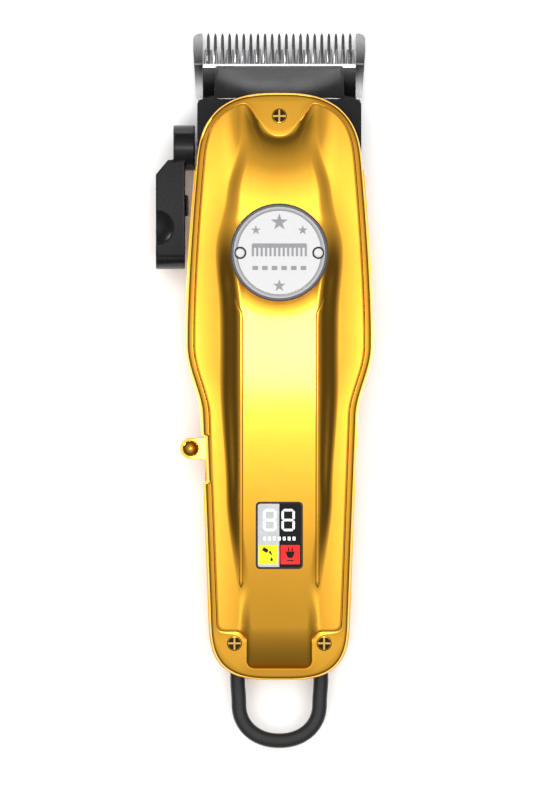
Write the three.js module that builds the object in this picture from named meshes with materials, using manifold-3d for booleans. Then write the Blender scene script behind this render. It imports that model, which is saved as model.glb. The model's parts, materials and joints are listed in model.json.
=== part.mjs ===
// Cordless hair clipper with a taper lever, lying on its back.
// Millimetres. +Z is the face side, +Y points to the blades and -X is the lever side.
// The origin is on the flat rest face under the back shell, on the centreline.
import * as THREE from 'three';
import { mergeVertices } from 'three/addons/utils/BufferGeometryUtils.js';
import Module from 'manifold-3d';

const wasm = await Module();
wasm.setup();

// ---------------------------------------------------------------- driving dimensions
const GAP = 0.3; // air between neighbouring pieces

const BODY = {
  noseY: 81.6, tailY: -74.5, // ends of the gold body
  shoulderY: 62.5, hipY: -58, // where the rounded ends begin
  headHalf: 25, headTaper: 2.6, gripHalf: 21.07, gripTaper: 0.038, // half widths
  waistFrom: -4, waistTo: 14.5, // the step from grip to head
  noseRound: 2.8, tailRound: 3.2, // superellipse exponents of the two ends
  backEndY: 61, // where the back shell stops and the nose frame begins
  wall: 2,
};

const FACE = {
  rimZ: 30.5, crownY: 15, rimRadius: 480, // long convex arc of the rim
  sideWall: 6.5, // height of the cover's side wall down to the parting line
  rimWidth: 2.1, edgeRound: 1.5, stepHeight: 0.8, stepRun: 0.6, wingSlope: 0.05,
  spineHalf: 9.8, spineHeight: 3.5, spineFall: 2.6, spineDroop: 3650,
  frontRamp: 15.5, rearRamp: 12, tailCreaseY: -71.4, lobeDepth: 9.8,
  tongueHalf: 9.5, tongueDepth: 10, archHalf: 19.5,
};

const BACK = { headLift: 3.5, headFrom: 30, tailLift: 5, tailFrom: -40, round: 3, flatCut: 0.7 };

const BADGE = { y: 39, z: 35.4, rim: 13, plate: 11.1, seat: 13.3, pedestal: 14, pedestalFoot: 16 };
const PINS = { x: 9.05, r: 1.5 };
const SCREW = { r: 1.7, frontY: 75.3, rearX: 11.9, rearY: -64.6, shank: 1.1, head: 1.2, slot: 0.5 };
const WINDOW = { y: -35.9, width: 12.5, length: 18, corner: 1, frame: 0.9, tilt: 0.125 };
const RIB = { x: 10.1, frontY: 23.1, rearY: -49.8, hookX: 11.6, hookY: 26.4, r: 0.45 };

const COMB = {
  tipY: 97.8, rootY: 86, rearY: 67.5, z: 4, thick: 2.4, tipHalf: 23, rearHalf: 22.1,
  endTooth: 2.8, teeth: 21, pitch: 1.893, tip: 0.5, root: 1.15, tipDrop: 1.5,
};
const CUTTER = {
  tipY: 93.5, rootY: 89.4, rearY: 77, z: 6.7, thick: 2.2, half: 20.35, tailHalf: 15.8, shoulderY: 80.5,
  teeth: 28, pitch: 1.457, tip: 0.45, root: 0.95, tipDrop: 1.2,
};
const STROKE = 1.1; // cutter travel each way, and the eccentric's throw

const LEVER = {
  y: 67.1, z: 13, bossR: 6.05, bossOut: -28.2, bossIn: -22.4,
  armOut: -32.9, armIn: -25, armFront: 63.9, armRear: 34.8, armHalfZ: 5.4,
  dishX: -33.2, dishY: 46, dishZ: 22.3, dishR: 7.2, // thumb scoop in the arm's upper outer edge
  shaftR: 2.2, camR: 4.4, camThrow: 3.13, camPin: 1,
};
const CARRIAGE = { half: 14.8, frontY: 75, rearY: 63.8, z: 6.7, thick: 1.5, screwX: 8.5, screwY: 71.3 };
const NOSE = {
  half: 21.8, cheek: 17.4, rearY: 61.4, frontY: 80, z0: 6.8, z1: 21.5, frontRoofZ: 19.2, roof: 1.5,
  bellyY: 64.6, bellyZ: 3,
};
const HOOD = { half: 17.2, frontY: 89, rearY: 80.3, lipZ: 9.4, topZ: 19.1, wall: 1.7, corner: 2 };

const MOTOR = { z: 14.4, r: 10.2, rearY: 21, frontY: 54, shaftR: 1.15, hubR: 2.8, pinR: 1.5 };
const BATTERY = { r: 9.1, z: 13.4, rearY: -57, frontY: 8 };
const TOGGLE = { y: -12.9, z: 18, ballX: -23.6, ballR: 2.88, width: 5.8, height: 3.6, notchRear: -21.9 };
const NOTCH = { frontY: -9.5, depth: 1.1, z0: 14.4, z1: 40 };
const LOOP = { z: 10.5, thick: 4.6, rootHalf: 13.1, farHalf: 12.3, inner: 9.1, endY: -92.8, innerEndY: -88.8 };
const PORT = { z: 10.5, width: 9, height: 3.2, surround: 1.3 };

// ---------------------------------------------------------------- materials
const finish = (color, roughness, metalness) => new THREE.MeshStandardMaterial({ color, roughness, metalness });
const GOLD = finish(0xf2b824, 0.16, 1);
const STEEL = finish(0xc8c9cb, 0.25, 1);
const CHROME = finish(0xe4e5e7, 0.08, 1);
const BLACK = finish(0x141416, 0.35, 0.1);
const DARK_STEEL = finish(0x2c2d30, 0.3, 0.9);
const GLASS = finish(0x101214, 0.06, 0);
const GREEN = finish(0x145c34, 0.5, 0);
const BLUE = finish(0x2a5fa8, 0.45, 0);

// ---------------------------------------------------------------- small maths
const clamp01 = (t) => Math.min(1, Math.max(0, t));
const mix = (a, b, t) => a + (b - a) * t;
const smooth = (a, b, v) => {
  const t = clamp01((v - a) / (b - a));
  return t * t * (3 - 2 * t);
};
const smoothMin = (a, b, k) => {
  const h = clamp01(0.5 + (0.5 * (b - a)) / k);
  return mix(b, a, h) - k * h * (1 - h);
};
const superRound = (t, n) => Math.pow(Math.max(0, 1 - Math.pow(clamp01(t), n)), 1 / n);

// ---------------------------------------------------------------- solids
function solid(geometry) {
  const g = geometry.clone();
  g.deleteAttribute('normal');
  g.deleteAttribute('uv');
  const m = mergeVertices(g, 1e-5);
  return new wasm.Manifold(new wasm.Mesh({
    numProp: 3,
    vertProperties: new Float32Array(m.attributes.position.array),
    triVerts: new Uint32Array(m.index.array),
  }));
}

function geometryOf(manifold) {
  const out = manifold.getMesh();
  const g = new THREE.BufferGeometry();
  g.setAttribute('position', new THREE.BufferAttribute(new Float32Array(out.vertProperties), 3));
  g.setIndex(new THREE.BufferAttribute(new Uint32Array(out.triVerts), 1));
  g.computeVertexNormals();
  return g;
}

function piece(name, shape, material, parent, x = 0, y = 0, z = 0) {
  const mesh = new THREE.Mesh(shape.isBufferGeometry ? shape : geometryOf(shape), material);
  mesh.name = name;
  mesh.position.set(x, y, z);
  parent.add(mesh);
  return mesh;
}

const box = (x0, x1, y0, y1, z0, z1) => new THREE.BoxGeometry(x1 - x0, y1 - y0, z1 - z0)
  .translate((x0 + x1) / 2, (y0 + y1) / 2, (z0 + z1) / 2);
const rodX = (r, x0, x1, sides = 24) => new THREE.CylinderGeometry(r, r, x1 - x0, sides)
  .rotateZ(Math.PI / 2).translate((x0 + x1) / 2, 0, 0);
const rodY = (r, y0, y1, sides = 24) => new THREE.CylinderGeometry(r, r, y1 - y0, sides)
  .translate(0, (y0 + y1) / 2, 0);
const rodZ = (r, z0, z1, sides = 24) => new THREE.CylinderGeometry(r, r, z1 - z0, sides)
  .rotateX(Math.PI / 2).translate(0, 0, (z0 + z1) / 2);

// A flat outline in XY, raised from z0 to z1.
const slab = (shape, z0, z1, curveSegments = 10) => new THREE.ExtrudeGeometry(shape, {
  depth: z1 - z0, bevelEnabled: false, curveSegments,
}).translate(0, 0, z0);

// A profile drawn as (y, z), spread along X from x0 to x1.
const prismX = (points, x0, x1) => new THREE.ExtrudeGeometry(
  new THREE.Shape(points.map(([y, z]) => new THREE.Vector2(y, z))),
  { depth: x1 - x0, bevelEnabled: false },
).rotateX(Math.PI / 2).rotateZ(Math.PI / 2).translate(x0, 0, 0);

function roundedRect(width, length, corner) {
  const [w, h] = [width / 2, length / 2];
  const s = new THREE.Shape();
  s.moveTo(w, h - corner);
  s.absarc(w - corner, h - corner, corner, 0, Math.PI / 2);
  s.absarc(corner - w, h - corner, corner, Math.PI / 2, Math.PI);
  s.absarc(corner - w, corner - h, corner, Math.PI, 1.5 * Math.PI);
  s.absarc(w - corner, corner - h, corner, 1.5 * Math.PI, 2 * Math.PI);
  return s;
}

// Joins rings of equal length, listed rear to front, each running right, bottom, left seen from the tail.
function loft(rings) {
  const n = rings[0].length;
  const centre = (ring) => ring.reduce((sum, p) => sum.add(p), new THREE.Vector3()).divideScalar(n);
  const verts = [...rings.flat(), centre(rings[0]), centre(rings[rings.length - 1])];
  const index = [];
  for (let r = 0; r + 1 < rings.length; r += 1) {
    for (let i = 0; i < n; i += 1) {
      const j = (i + 1) % n;
      const [a, b, c, d] = [r * n + i, r * n + j, (r + 1) * n + i, (r + 1) * n + j];
      index.push(a, d, c, a, b, d);
    }
  }
  const last = (rings.length - 1) * n;
  for (let i = 0; i < n; i += 1) {
    const j = (i + 1) % n;
    index.push(rings.length * n, j, i, rings.length * n + 1, last + i, last + j);
  }
  const g = new THREE.BufferGeometry();
  g.setAttribute('position', new THREE.BufferAttribute(new Float32Array(verts.flatMap((p) => p.toArray())), 3));
  g.setIndex(index);
  g.computeVertexNormals();
  return g;
}

// Stations from y0 to y1, closer together at both ends.
function stations(y0, y1, count) {
  return Array.from({ length: count + 1 }, (_, i) => {
    const t = i / count;
    return mix(y0, y1, mix(t, smooth(0, 1, t), 0.8));
  });
}

// ---------------------------------------------------------------- the body's surfaces
function halfWidth(y) {
  const head = BODY.headHalf - BODY.headTaper * Math.pow(Math.max(0, (y - 18) / 44.5), 1.5);
  const grip = BODY.gripHalf + BODY.gripTaper * y;
  const flank = mix(grip, head, smooth(BODY.waistFrom, BODY.waistTo, y));
  const front = superRound((y - BODY.shoulderY) / (BODY.noseY - BODY.shoulderY), BODY.noseRound);
  const rear = superRound((BODY.hipY - y) / (BODY.hipY - BODY.tailY), BODY.tailRound);
  return flank * front * rear;
}

const rimZ = (y) => FACE.rimZ - (y - FACE.crownY) ** 2 / (2 * FACE.rimRadius);
const partingZ = (y) => rimZ(y) - FACE.sideWall;

// Front and rear edges of the raised face: a tongue round the front screw, two lobes round the rear ones.
function creaseFront(x) {
  const reach = BODY.noseY - FACE.rimWidth - BODY.shoulderY;
  const arch = BODY.shoulderY + reach * superRound(x / FACE.archHalf, BODY.noseRound);
  const tongue = (1 + Math.cos(Math.PI * clamp01(x / FACE.tongueHalf))) / 2;
  return arch - FACE.tongueDepth * tongue;
}
const creaseRear = (x) => FACE.tailCreaseY + FACE.lobeDepth * smooth(7.2, 10.2, x);

function faceZ(px, y) {
  const x = Math.abs(px);
  const side = halfWidth(y) - FACE.rimWidth - x;
  const front = creaseFront(x) - y;
  const rear = y - creaseRear(x);
  const inside = smoothMin(smoothMin(side, front, 2), rear, 2);
  const wing = FACE.wingSlope * Math.min(9, Math.max(0, inside));
  const step = FACE.stepHeight * smooth(0, FACE.stepRun, inside) + wing;
  const r = Math.hypot(x, y - BADGE.y);
  const away = Math.max(0, smoothMin(x - FACE.spineHalf, r - BADGE.pedestal, 2));
  const frontRamp = 1 - (1 - clamp01(front / FACE.frontRamp)) ** 2.2;
  const rearRamp = 1 - (1 - clamp01(rear / FACE.rearRamp)) ** 2.6;
  const droop = (y - FACE.crownY) ** 2 / FACE.spineDroop;
  const spine = (FACE.spineHeight - droop) * frontRamp * rearRamp * Math.exp(-((away / FACE.spineFall) ** 1.6));
  const open = rimZ(y) + step + spine;
  return mix(BADGE.z, open, smooth(BADGE.pedestal, BADGE.pedestalFoot, r));
}

// Cover section: flat underside at the parting line, side wall, rounded edge, then the face.
function coverRing(y, inset, floorZ, offsets, spans) {
  const w = Math.max(1.2, halfWidth(y) - inset);
  const k = Math.min(1, w / 14);
  const right = [[w, floorZ]];
  const rim = rimZ(y) - inset;
  right.push([w, rim - FACE.edgeRound * k]);
  offsets.forEach(([d, drop]) => right.push([w - d * k, rim - drop * k]));
  const inner = w - 2.9 * k;
  for (let i = 0; i <= spans; i += 1) {
    const x = inner * (1 - i / spans);
    right.push([x, Math.max(rim, faceZ(x, y) - inset)]);
  }
  const left = right.slice(0, -1).reverse().map(([x, z]) => [-x, z]);
  return [...right, ...left].map(([x, z]) => new THREE.Vector3(x, y, z)).reverse();
}

function backRing(y, inset, topZ, steps) {
  const w = Math.max(1.2, halfWidth(y) - inset);
  const head = BACK.headLift * Math.max(0, (y - BACK.headFrom) / (BODY.backEndY - BACK.headFrom)) ** 2;
  const tail = BACK.tailLift * Math.max(0, (BACK.tailFrom - y) / (BACK.tailFrom - BODY.tailY)) ** 2;
  const low = head + tail - BACK.flatCut + inset;
  const depth = partingZ(y) - low;
  const ring = [];
  for (let i = 0; i <= steps; i += 1) {
    const a = (Math.PI * i) / steps;
    const x = Math.sign(Math.cos(a)) * Math.abs(Math.cos(a)) ** (2 / BACK.round) * w;
    const z = partingZ(y) - depth * Math.sin(a) ** (2 / BACK.round);
    ring.push(new THREE.Vector3(x, y, i === 0 || i === steps ? topZ : Math.max(inset, z)));
  }
  return ring;
}

// ---------------------------------------------------------------- shells
function notchCutter() {
  const wallX = -halfWidth((NOTCH.frontY + TOGGLE.notchRear) / 2);
  return solid(box(wallX - 5, wallX + NOTCH.depth, TOGGLE.notchRear, NOTCH.frontY, NOTCH.z0, NOTCH.z1));
}

function windowCutter(extra) {
  const outline = roundedRect(WINDOW.width + 2 * extra, WINDOW.length + 2 * extra, WINDOW.corner + extra);
  return slab(outline, -8, 8, 4)
    .rotateX(WINDOW.tilt).translate(0, WINDOW.y, faceZ(0, WINDOW.y));
}

// A raised bead with a hook at its front end, along each edge of the spine.
function ribBead(sign) {
  const points = [
    [RIB.hookX, RIB.hookY], [RIB.x + 0.2, RIB.frontY + 1], [RIB.x, RIB.frontY - 2],
    ...Array.from({ length: 7 }, (_, i) => [RIB.x, mix(RIB.frontY - 10, RIB.rearY, i / 6)]),
  ];
  const path = new THREE.CatmullRomCurve3(points.map(([x, y]) => new THREE.Vector3(
    sign * x, y, faceZ(RIB.x, Math.min(y, RIB.frontY - 1)) + 0.1,
  )));
  const section = new THREE.Shape(new THREE.Path().absarc(0, 0, RIB.r, 0, 2 * Math.PI).getPoints(6).slice(1));
  return solid(new THREE.ExtrudeGeometry(section, { extrudePath: path, steps: 14, bevelEnabled: false }));
}

function faceCover() {
  const outline = [[0.12, 0.75], [0.5, 0.35], [FACE.edgeRound, 0], [FACE.rimWidth, 0]];
  const outer = stations(BODY.tailY + 0.02, BODY.noseY - 0.02, 32)
    .map((y) => coverRing(y, 0, partingZ(y), outline, 7));
  const inner = stations(BODY.tailY + BODY.wall, BODY.noseY - BODY.wall, 14)
    .map((y) => coverRing(y, BODY.wall, partingZ(y) - 4, [[0.6, 0.2]], 4));
  const seatDepth = 1.2;
  let cover = solid(loft(outer)).subtract(solid(loft(inner)));
  cover = cover.add(ribBead(1)).add(ribBead(-1));
  cover = cover.subtract(solid(windowCutter(GAP)));
  const seat = rodZ(BADGE.seat, BADGE.z - seatDepth, BADGE.z + 5, 48).translate(0, BADGE.y, 0);
  cover = cover.subtract(solid(seat));
  cover = cover.subtract(notchCutter());
  screwSpots().forEach(({ x, y, z }) => {
    const boss = solid(rodZ(SCREW.r + 1.3, partingZ(y) + GAP, z - 0.4, 16).translate(x, y, 0));
    const head = solid(rodZ(SCREW.r + GAP, z - SCREW.head, z + 3, 24).translate(x, y, 0));
    const hole = solid(rodZ(SCREW.shank + GAP, z - 12, z, 12).translate(x, y, 0));
    cover = cover.add(boss).subtract(head).subtract(hole);
  });
  return cover;
}

function backShell() {
  const outer = stations(BODY.tailY + 0.02, BODY.backEndY, 20)
    .map((y) => backRing(y, 0, partingZ(y) - GAP, 16));
  const inner = stations(BODY.tailY + BODY.wall, BODY.backEndY + 4, 12)
    .map((y) => backRing(y, BODY.wall, partingZ(y) + 4, 12));
  let shell = solid(loft(outer)).subtract(solid(loft(inner)));
  const stub = solid(box(-30, -15, TOGGLE.notchRear, NOTCH.frontY, TOGGLE.z - 2.1, TOGGLE.z + 2.1));
  shell = shell.subtract(notchCutter()).subtract(stub);
  [-1, 1].forEach((sign) => {
    const at = [sign * SCREW.rearX, SCREW.rearY, 0];
    const post = rodZ(2.9, 5, partingZ(SCREW.rearY) - GAP, 16).translate(...at);
    const pilot = rodZ(SCREW.shank + GAP, 6, 30, 12).translate(...at);
    shell = shell.add(solid(post)).subtract(solid(pilot));
    const legX = sign * (LOOP.rootHalf + LOOP.inner) / 2;
    const legHalf = LOOP.thick / 2 + GAP;
    const leg = box(legX - 2.3, legX + 2.3, -80, -64, LOOP.z - legHalf, LOOP.z + legHalf);
    shell = shell.subtract(solid(leg));
  });
  const mouth = roundedRect(PORT.width + 2 * PORT.surround, PORT.height + 2 * PORT.surround, 2.6);
  const portHole = slab(mouth, 66, 80, 6).rotateX(Math.PI / 2).translate(0, 0, PORT.z);
  return shell.subtract(solid(portHole));
}

function screwSpots() {
  return [
    { name: 'cover_screw_front', x: 0, y: SCREW.frontY },
    { name: 'cover_screw_rear_left', x: -SCREW.rearX, y: SCREW.rearY },
    { name: 'cover_screw_rear_right', x: SCREW.rearX, y: SCREW.rearY },
  ].map((spot) => ({ ...spot, z: rimZ(spot.y) }));
}

// ---------------------------------------------------------------- blades
// A toothed blade seen from the face side: square roots, tapering tips, shaped rear edge.
function bladeOutline(d, sideX, rearCorners) {
  const s = new THREE.Shape();
  const first = -((d.teeth - 1) / 2) * d.pitch;
  rearCorners.forEach(([x, y], i) => (i ? s.lineTo(x, y) : s.moveTo(x, y)));
  s.lineTo(sideX, d.rootY);
  if (d.endTooth) {
    s.lineTo(d.tipHalf, d.tipY - 1.2);
    s.lineTo(d.tipHalf - 1.2, d.tipY);
    s.lineTo(d.tipHalf - d.endTooth, d.tipY);
    s.lineTo(d.tipHalf - d.endTooth - 0.25, d.rootY);
  }
  for (let i = d.teeth - 1; i >= 0; i -= 1) {
    const x = first + i * d.pitch;
    s.lineTo(x + d.root / 2, d.rootY);
    s.lineTo(x + d.tip / 2, d.tipY);
    s.lineTo(x - d.tip / 2, d.tipY);
    s.lineTo(x - d.root / 2, d.rootY);
  }
  if (d.endTooth) {
    s.lineTo(d.endTooth + 0.25 - d.tipHalf, d.rootY);
    s.lineTo(d.endTooth - d.tipHalf, d.tipY);
    s.lineTo(1.2 - d.tipHalf, d.tipY);
    s.lineTo(-d.tipHalf, d.tipY - 1.2);
  }
  s.lineTo(-sideX, d.rootY);
  [...rearCorners].reverse().forEach(([x, y]) => s.lineTo(-x, y));
  return s;
}

// Removes the sloped wedge that thins a blade's teeth towards their tips.
function thinTips(blade, d, fromY) {
  const top = d.z + d.thick;
  const end = d.tipY + 2;
  const wedge = prismX([[fromY, top], [end, top - d.tipDrop], [end, top + 3], [fromY, top + 3]], -30, 30);
  return blade.subtract(solid(wedge));
}

function combBlade() {
  const rear = [
    [CARRIAGE.half, COMB.rearY], [CARRIAGE.half + 3, COMB.rearY + 1.5], [COMB.rearHalf, 74], [COMB.rearHalf, 80],
  ];
  let comb = solid(slab(bladeOutline(COMB, COMB.rearHalf + 0.4, rear), COMB.z, COMB.z + COMB.thick));
  comb = thinTips(comb, COMB, 89.6);
  [-1, 1].forEach((sign) => {
    const hole = rodZ(1.9, COMB.z - 2, COMB.z + 6, 16).translate(sign * CARRIAGE.screwX, CARRIAGE.screwY, 0);
    comb = comb.subtract(solid(hole));
  });
  return comb;
}

function cutterBlade() {
  const rear = [
    [CUTTER.tailHalf, CUTTER.rearY], [CUTTER.tailHalf, CUTTER.shoulderY], [CUTTER.half, CUTTER.shoulderY + 0.4],
  ];
  const outline = bladeOutline(CUTTER, CUTTER.half, rear);
  return thinTips(solid(slab(outline, CUTTER.z, CUTTER.z + CUTTER.thick)), CUTTER, 88.6);
}

function bladeCarriage() {
  const c = CARRIAGE;
  let plate = solid(box(-c.half, c.half, 66, c.frontY, c.z, c.z + c.thick));
  const arm = box(-c.half, -c.half + 4, c.rearY, 67, c.z, c.z + c.thick);
  const ear = box(-c.half, -c.half + 1.6, c.rearY, 70.4, c.z, LEVER.z - 1);
  const half = LEVER.camPin + GAP + 0.35;
  const slotFloor = LEVER.z - LEVER.camThrow - 1.35;
  const slot = box(-c.half - 1, -c.half + 3, LEVER.y - half, LEVER.y + half, slotFloor, LEVER.z);
  plate = plate.add(solid(arm)).add(solid(ear)).subtract(solid(slot));
  [-1, 1].forEach((sign) => {
    plate = plate.subtract(solid(rodZ(1.5, 0, 12, 16).translate(sign * c.screwX, c.screwY, 0)));
  });
  return plate;
}

// Screw under the comb: countersunk head below, shank up into the carriage.
function bladeScrew() {
  const top = CARRIAGE.z + CARRIAGE.thick - 0.2;
  const profile = [[0, COMB.z - 1.3], [2.4, COMB.z - 1.3], [2.9, COMB.z - 0.9], [2.9, COMB.z - GAP],
    [1.2, COMB.z - GAP], [1.2, top], [0, top]];
  const slot = box(-4, 4, -0.35, 0.35, COMB.z - 2, COMB.z - 0.8);
  return turned(profile, 20).subtract(solid(slot));
}

// A profile of (radius, height) turned about Z.
const turned = (profile, sides) => solid(
  new THREE.LatheGeometry(profile.map(([r, z]) => new THREE.Vector2(r, z)), sides).rotateX(Math.PI / 2),
);

// U-shaped wire that presses the moving blade down on the comb.
function tensionSpring() {
  const z = 9.15;
  const [x, rear, front] = [10.5, 72.5, 84.5];
  const leg = [[x - 3, rear, z], [x - 1, rear + 0.3, z], [x, rear + 2, z], [x, 79, 9.7], [x, front, 9.85]];
  const points = [...leg.map(([px, y, pz]) => [-px, y, pz]).reverse(), [0, rear, z], ...leg];
  const path = new THREE.CatmullRomCurve3(points.map((p) => new THREE.Vector3(...p)));
  const section = new THREE.Shape(new THREE.Path().absarc(0, 0, 0.5, 0, 2 * Math.PI).getPoints(4).slice(1));
  return solid(new THREE.ExtrudeGeometry(section, { extrudePath: path, steps: 30, bevelEnabled: false }));
}

// Drive block on the moving blade, with a tall slot for the eccentric pin.
function cutterYoke() {
  const z0 = CUTTER.z + CUTTER.thick + GAP;
  const slotHalf = MOTOR.pinR + 2 * STROKE + GAP;
  const block = solid(box(-7, 7, 77.2, 80, z0, MOTOR.z + 3.2));
  const slot = box(-slotHalf, slotHalf, 70, 79.2, MOTOR.z - 3, MOTOR.z + 6);
  const foot = box(-8.4, 8.4, 77.2, 82.5, z0, z0 + 1.2);
  return block.add(solid(foot)).subtract(solid(slot));
}

// ---------------------------------------------------------------- nose
function noseFrame() {
  const n = NOSE;
  const plan = slab(roundedRect(2 * n.half, n.frontY - n.rearY, 1.6), n.z0, n.z1, 4)
    .translate(0, (n.frontY + n.rearY) / 2, 0);
  const belly = new THREE.Shape([
    [n.half, n.z0 + 1], [-n.half, n.z0 + 1], [-n.half, n.z0], [-18.5, 4.2], [-14, n.bellyZ], [14, n.bellyZ],
    [18.5, 4.2], [n.half, n.z0],
  ].map(([x, z]) => new THREE.Vector2(x, z)));
  const bellyBar = slab(belly, -n.bellyY, -n.rearY).rotateX(Math.PI / 2);
  const cavity = box(-n.cheek, n.cheek, n.rearY - 2, n.frontY + 2, n.z0 - 0.4, n.frontRoofZ - n.roof);
  const [y0, y1, high] = [n.rearY - 1, n.frontY + 1, n.z1 + 3];
  const slope = prismX([[y0, n.z1], [y1, n.frontRoofZ], [y1, high], [y0, high]], -30, 30);
  return solid(plan).add(solid(bellyBar)).subtract(solid(cavity)).subtract(solid(slope))
    .subtract(solid(rodX(LEVER.shaftR + GAP, -30, -10).translate(0, LEVER.y, LEVER.z)))
    .subtract(solid(rodZ(SCREW.shank + GAP, 10, 25, 12).translate(0, SCREW.frontY, 0)));
}

function noseHood() {
  const h = HOOD;
  const profile = [[h.frontY, h.lipZ], [h.frontY, h.lipZ + 1.2], [h.rearY + 1.2, h.topZ], [h.rearY, h.topZ],
    [h.rearY, h.topZ - h.wall], [h.frontY - 1.6, h.lipZ]];
  const plan = slab(roundedRect(2 * h.half, 20, h.corner), 0, 30, 5).translate(0, h.frontY - 10, 0);
  return solid(prismX(profile, -h.half, h.half)).intersect(solid(plan));
}

// ---------------------------------------------------------------- taper lever, in its pivot's frame
function taperLever() {
  const l = LEVER;
  const [out, inn, front, rear] = [l.armOut, l.armIn, l.armFront - l.y, l.armRear - l.y];
  const plan = new THREE.Shape([
    [inn, front], [inn, rear + 0.8], [inn - 1, rear], [out + 2.2, rear], [out, rear + 2.6], [out, front - 4],
    [out + 3.2, front],
  ].map(([x, y]) => new THREE.Vector2(x, y)).reverse());
  const side = new THREE.Shape();
  side.absarc(0, 0, l.bossR, -Math.PI / 2, Math.PI / 2);
  side.quadraticCurveTo(-16, l.armHalfZ - 1.2, rear + 3, l.armHalfZ);
  side.quadraticCurveTo(rear, l.armHalfZ - 0.6, rear, 0);
  side.quadraticCurveTo(rear, 0.6 - l.armHalfZ, rear + 3, -l.armHalfZ);
  side.quadraticCurveTo(-16, 1.2 - l.armHalfZ, 0, -l.bossR);
  const paddle = new THREE.ExtrudeGeometry(side, { depth: 14, bevelEnabled: false, curveSegments: 8 })
    .rotateX(Math.PI / 2).rotateZ(Math.PI / 2).translate(-36, 0, 0);
  let lever = solid(slab(plan, -12, 12)).intersect(solid(paddle));
  lever = lever.add(solid(rodX(l.bossR, l.bossOut, l.bossIn, 36)));
  const dish = new THREE.SphereGeometry(l.dishR, 28, 18).translate(l.dishX, l.dishY - l.y, l.dishZ - l.z);
  const nub = box(-25.3, -24.1, 49 - l.y, 54.5 - l.y, -1.6, 1.6);
  const recess = rodX(3.1, l.bossOut - 1, l.bossOut + 1.2);
  return lever.subtract(solid(dish)).add(solid(nub)).subtract(solid(recess));
}

function leverCam() {
  const disc = solid(rodX(LEVER.camR, -NOSE.cheek + GAP, -NOSE.cheek + 1.6));
  const pin = rodX(LEVER.camPin, -NOSE.cheek + 1, -CARRIAGE.half + 1.3, 12).translate(0, 0, -LEVER.camThrow);
  return disc.add(solid(pin));
}

// ---------------------------------------------------------------- screws and small fittings
// Cross-recess screw with its head's top at z = 0.
function coverScrew() {
  const top = solid(rodZ(SCREW.r, -0.9, 0, 16)).add(solid(rodZ(SCREW.shank, -8, -0.8, 8)));
  const arm = SCREW.r - 0.3;
  const crossX = solid(box(-arm, arm, -SCREW.slot / 2, SCREW.slot / 2, -0.6, 1));
  const crossY = solid(box(-SCREW.slot / 2, SCREW.slot / 2, -arm, arm, -0.6, 1));
  return top.subtract(crossX).subtract(crossY);
}

function ringSolid(outerR, innerR, z0, z1, sides) {
  return solid(rodZ(outerR, z0, z1, sides)).subtract(solid(rodZ(innerR, z0 - 1, z1 + 1, sides)));
}

function hangingLoop() {
  const l = LOOP;
  const inside = BODY.tailY + 8;
  const s = new THREE.Shape();
  s.moveTo(l.rootHalf, inside);
  s.lineTo(-l.rootHalf, inside);
  s.lineTo(-l.rootHalf, BODY.tailY);
  s.lineTo(-l.farHalf, -81);
  s.bezierCurveTo(-l.farHalf, -89, -7, l.endY, 0, l.endY);
  s.bezierCurveTo(7, l.endY, l.farHalf, -89, l.farHalf, -81);
  s.lineTo(l.rootHalf, BODY.tailY);
  const hole = new THREE.Path();
  hole.moveTo(l.inner, inside + 1);
  hole.lineTo(l.inner, -80);
  hole.bezierCurveTo(l.inner, -86, 5, l.innerEndY, 0, l.innerEndY);
  hole.bezierCurveTo(-5, l.innerEndY, -l.inner, -86, -l.inner, -80);
  hole.lineTo(-l.inner, inside + 1);
  const band = slab(s, -l.thick / 2, l.thick / 2, 10);
  return solid(band).subtract(solid(slab(new THREE.Shape(hole.getPoints(10)), -6, 6)));
}

// ---------------------------------------------------------------- assembly
const clipper = new THREE.Group();

function addShells() {
  piece('face_cover', faceCover(), GOLD, clipper);
  piece('back_shell', backShell(), GOLD, clipper);
  piece('nose_frame', noseFrame(), BLACK, clipper);
  piece('nose_hood', noseHood(), BLACK, clipper);
  screwSpots().forEach(({ name, x, y, z }) => piece(name, coverScrew(), CHROME, clipper, x, y, z - 0.25));
}

function addBadge() {
  const badge = new THREE.Group();
  badge.position.set(0, BADGE.y, BADGE.z);
  clipper.add(badge);
  piece('badge_ring', ringSolid(BADGE.rim, BADGE.plate + GAP, -0.9, 0.9, 48), CHROME, badge);
  const plate = solid(rodZ(BADGE.plate, -0.9, 0.45, 48));
  const holes = [-1, 1].map((sign) => {
    const hole = rodZ(PINS.r + GAP, -2, 2, 20).translate(sign * PINS.x, 0, 0);
    return solid(hole);
  });
  piece('badge_plate', plate.subtract(holes[0]).subtract(holes[1]), STEEL, badge);
  piece('badge_pin_left', solid(rodZ(PINS.r, -0.9, 1, 20)), CHROME, badge, -PINS.x);
  piece('badge_pin_right', solid(rodZ(PINS.r, -0.9, 1, 20)), CHROME, badge, PINS.x);
}

function addDisplay() {
  const display = new THREE.Group();
  display.position.set(0, WINDOW.y, faceZ(0, WINDOW.y));
  display.rotation.x = WINDOW.tilt;
  clipper.add(display);
  const outer = solid(slab(roundedRect(WINDOW.width, WINDOW.length, WINDOW.corner), -1.8, 0.1, 4));
  const [w, l] = [WINDOW.width - 2 * WINDOW.frame, WINDOW.length - 2 * WINDOW.frame];
  const opening = solid(slab(roundedRect(w, l, 0.6), -5, 5, 4));
  piece('display_frame', outer.subtract(opening), BLACK, display);
  piece('display_lens', slab(roundedRect(w - 0.6, l - 0.6, 0.5), -1.2, 0, 4), GLASS, display);
  piece('display_module', box(-4.8, 4.8, -7.6, 7.6, -3.2, -1.5), BLACK, display);
}

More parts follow.
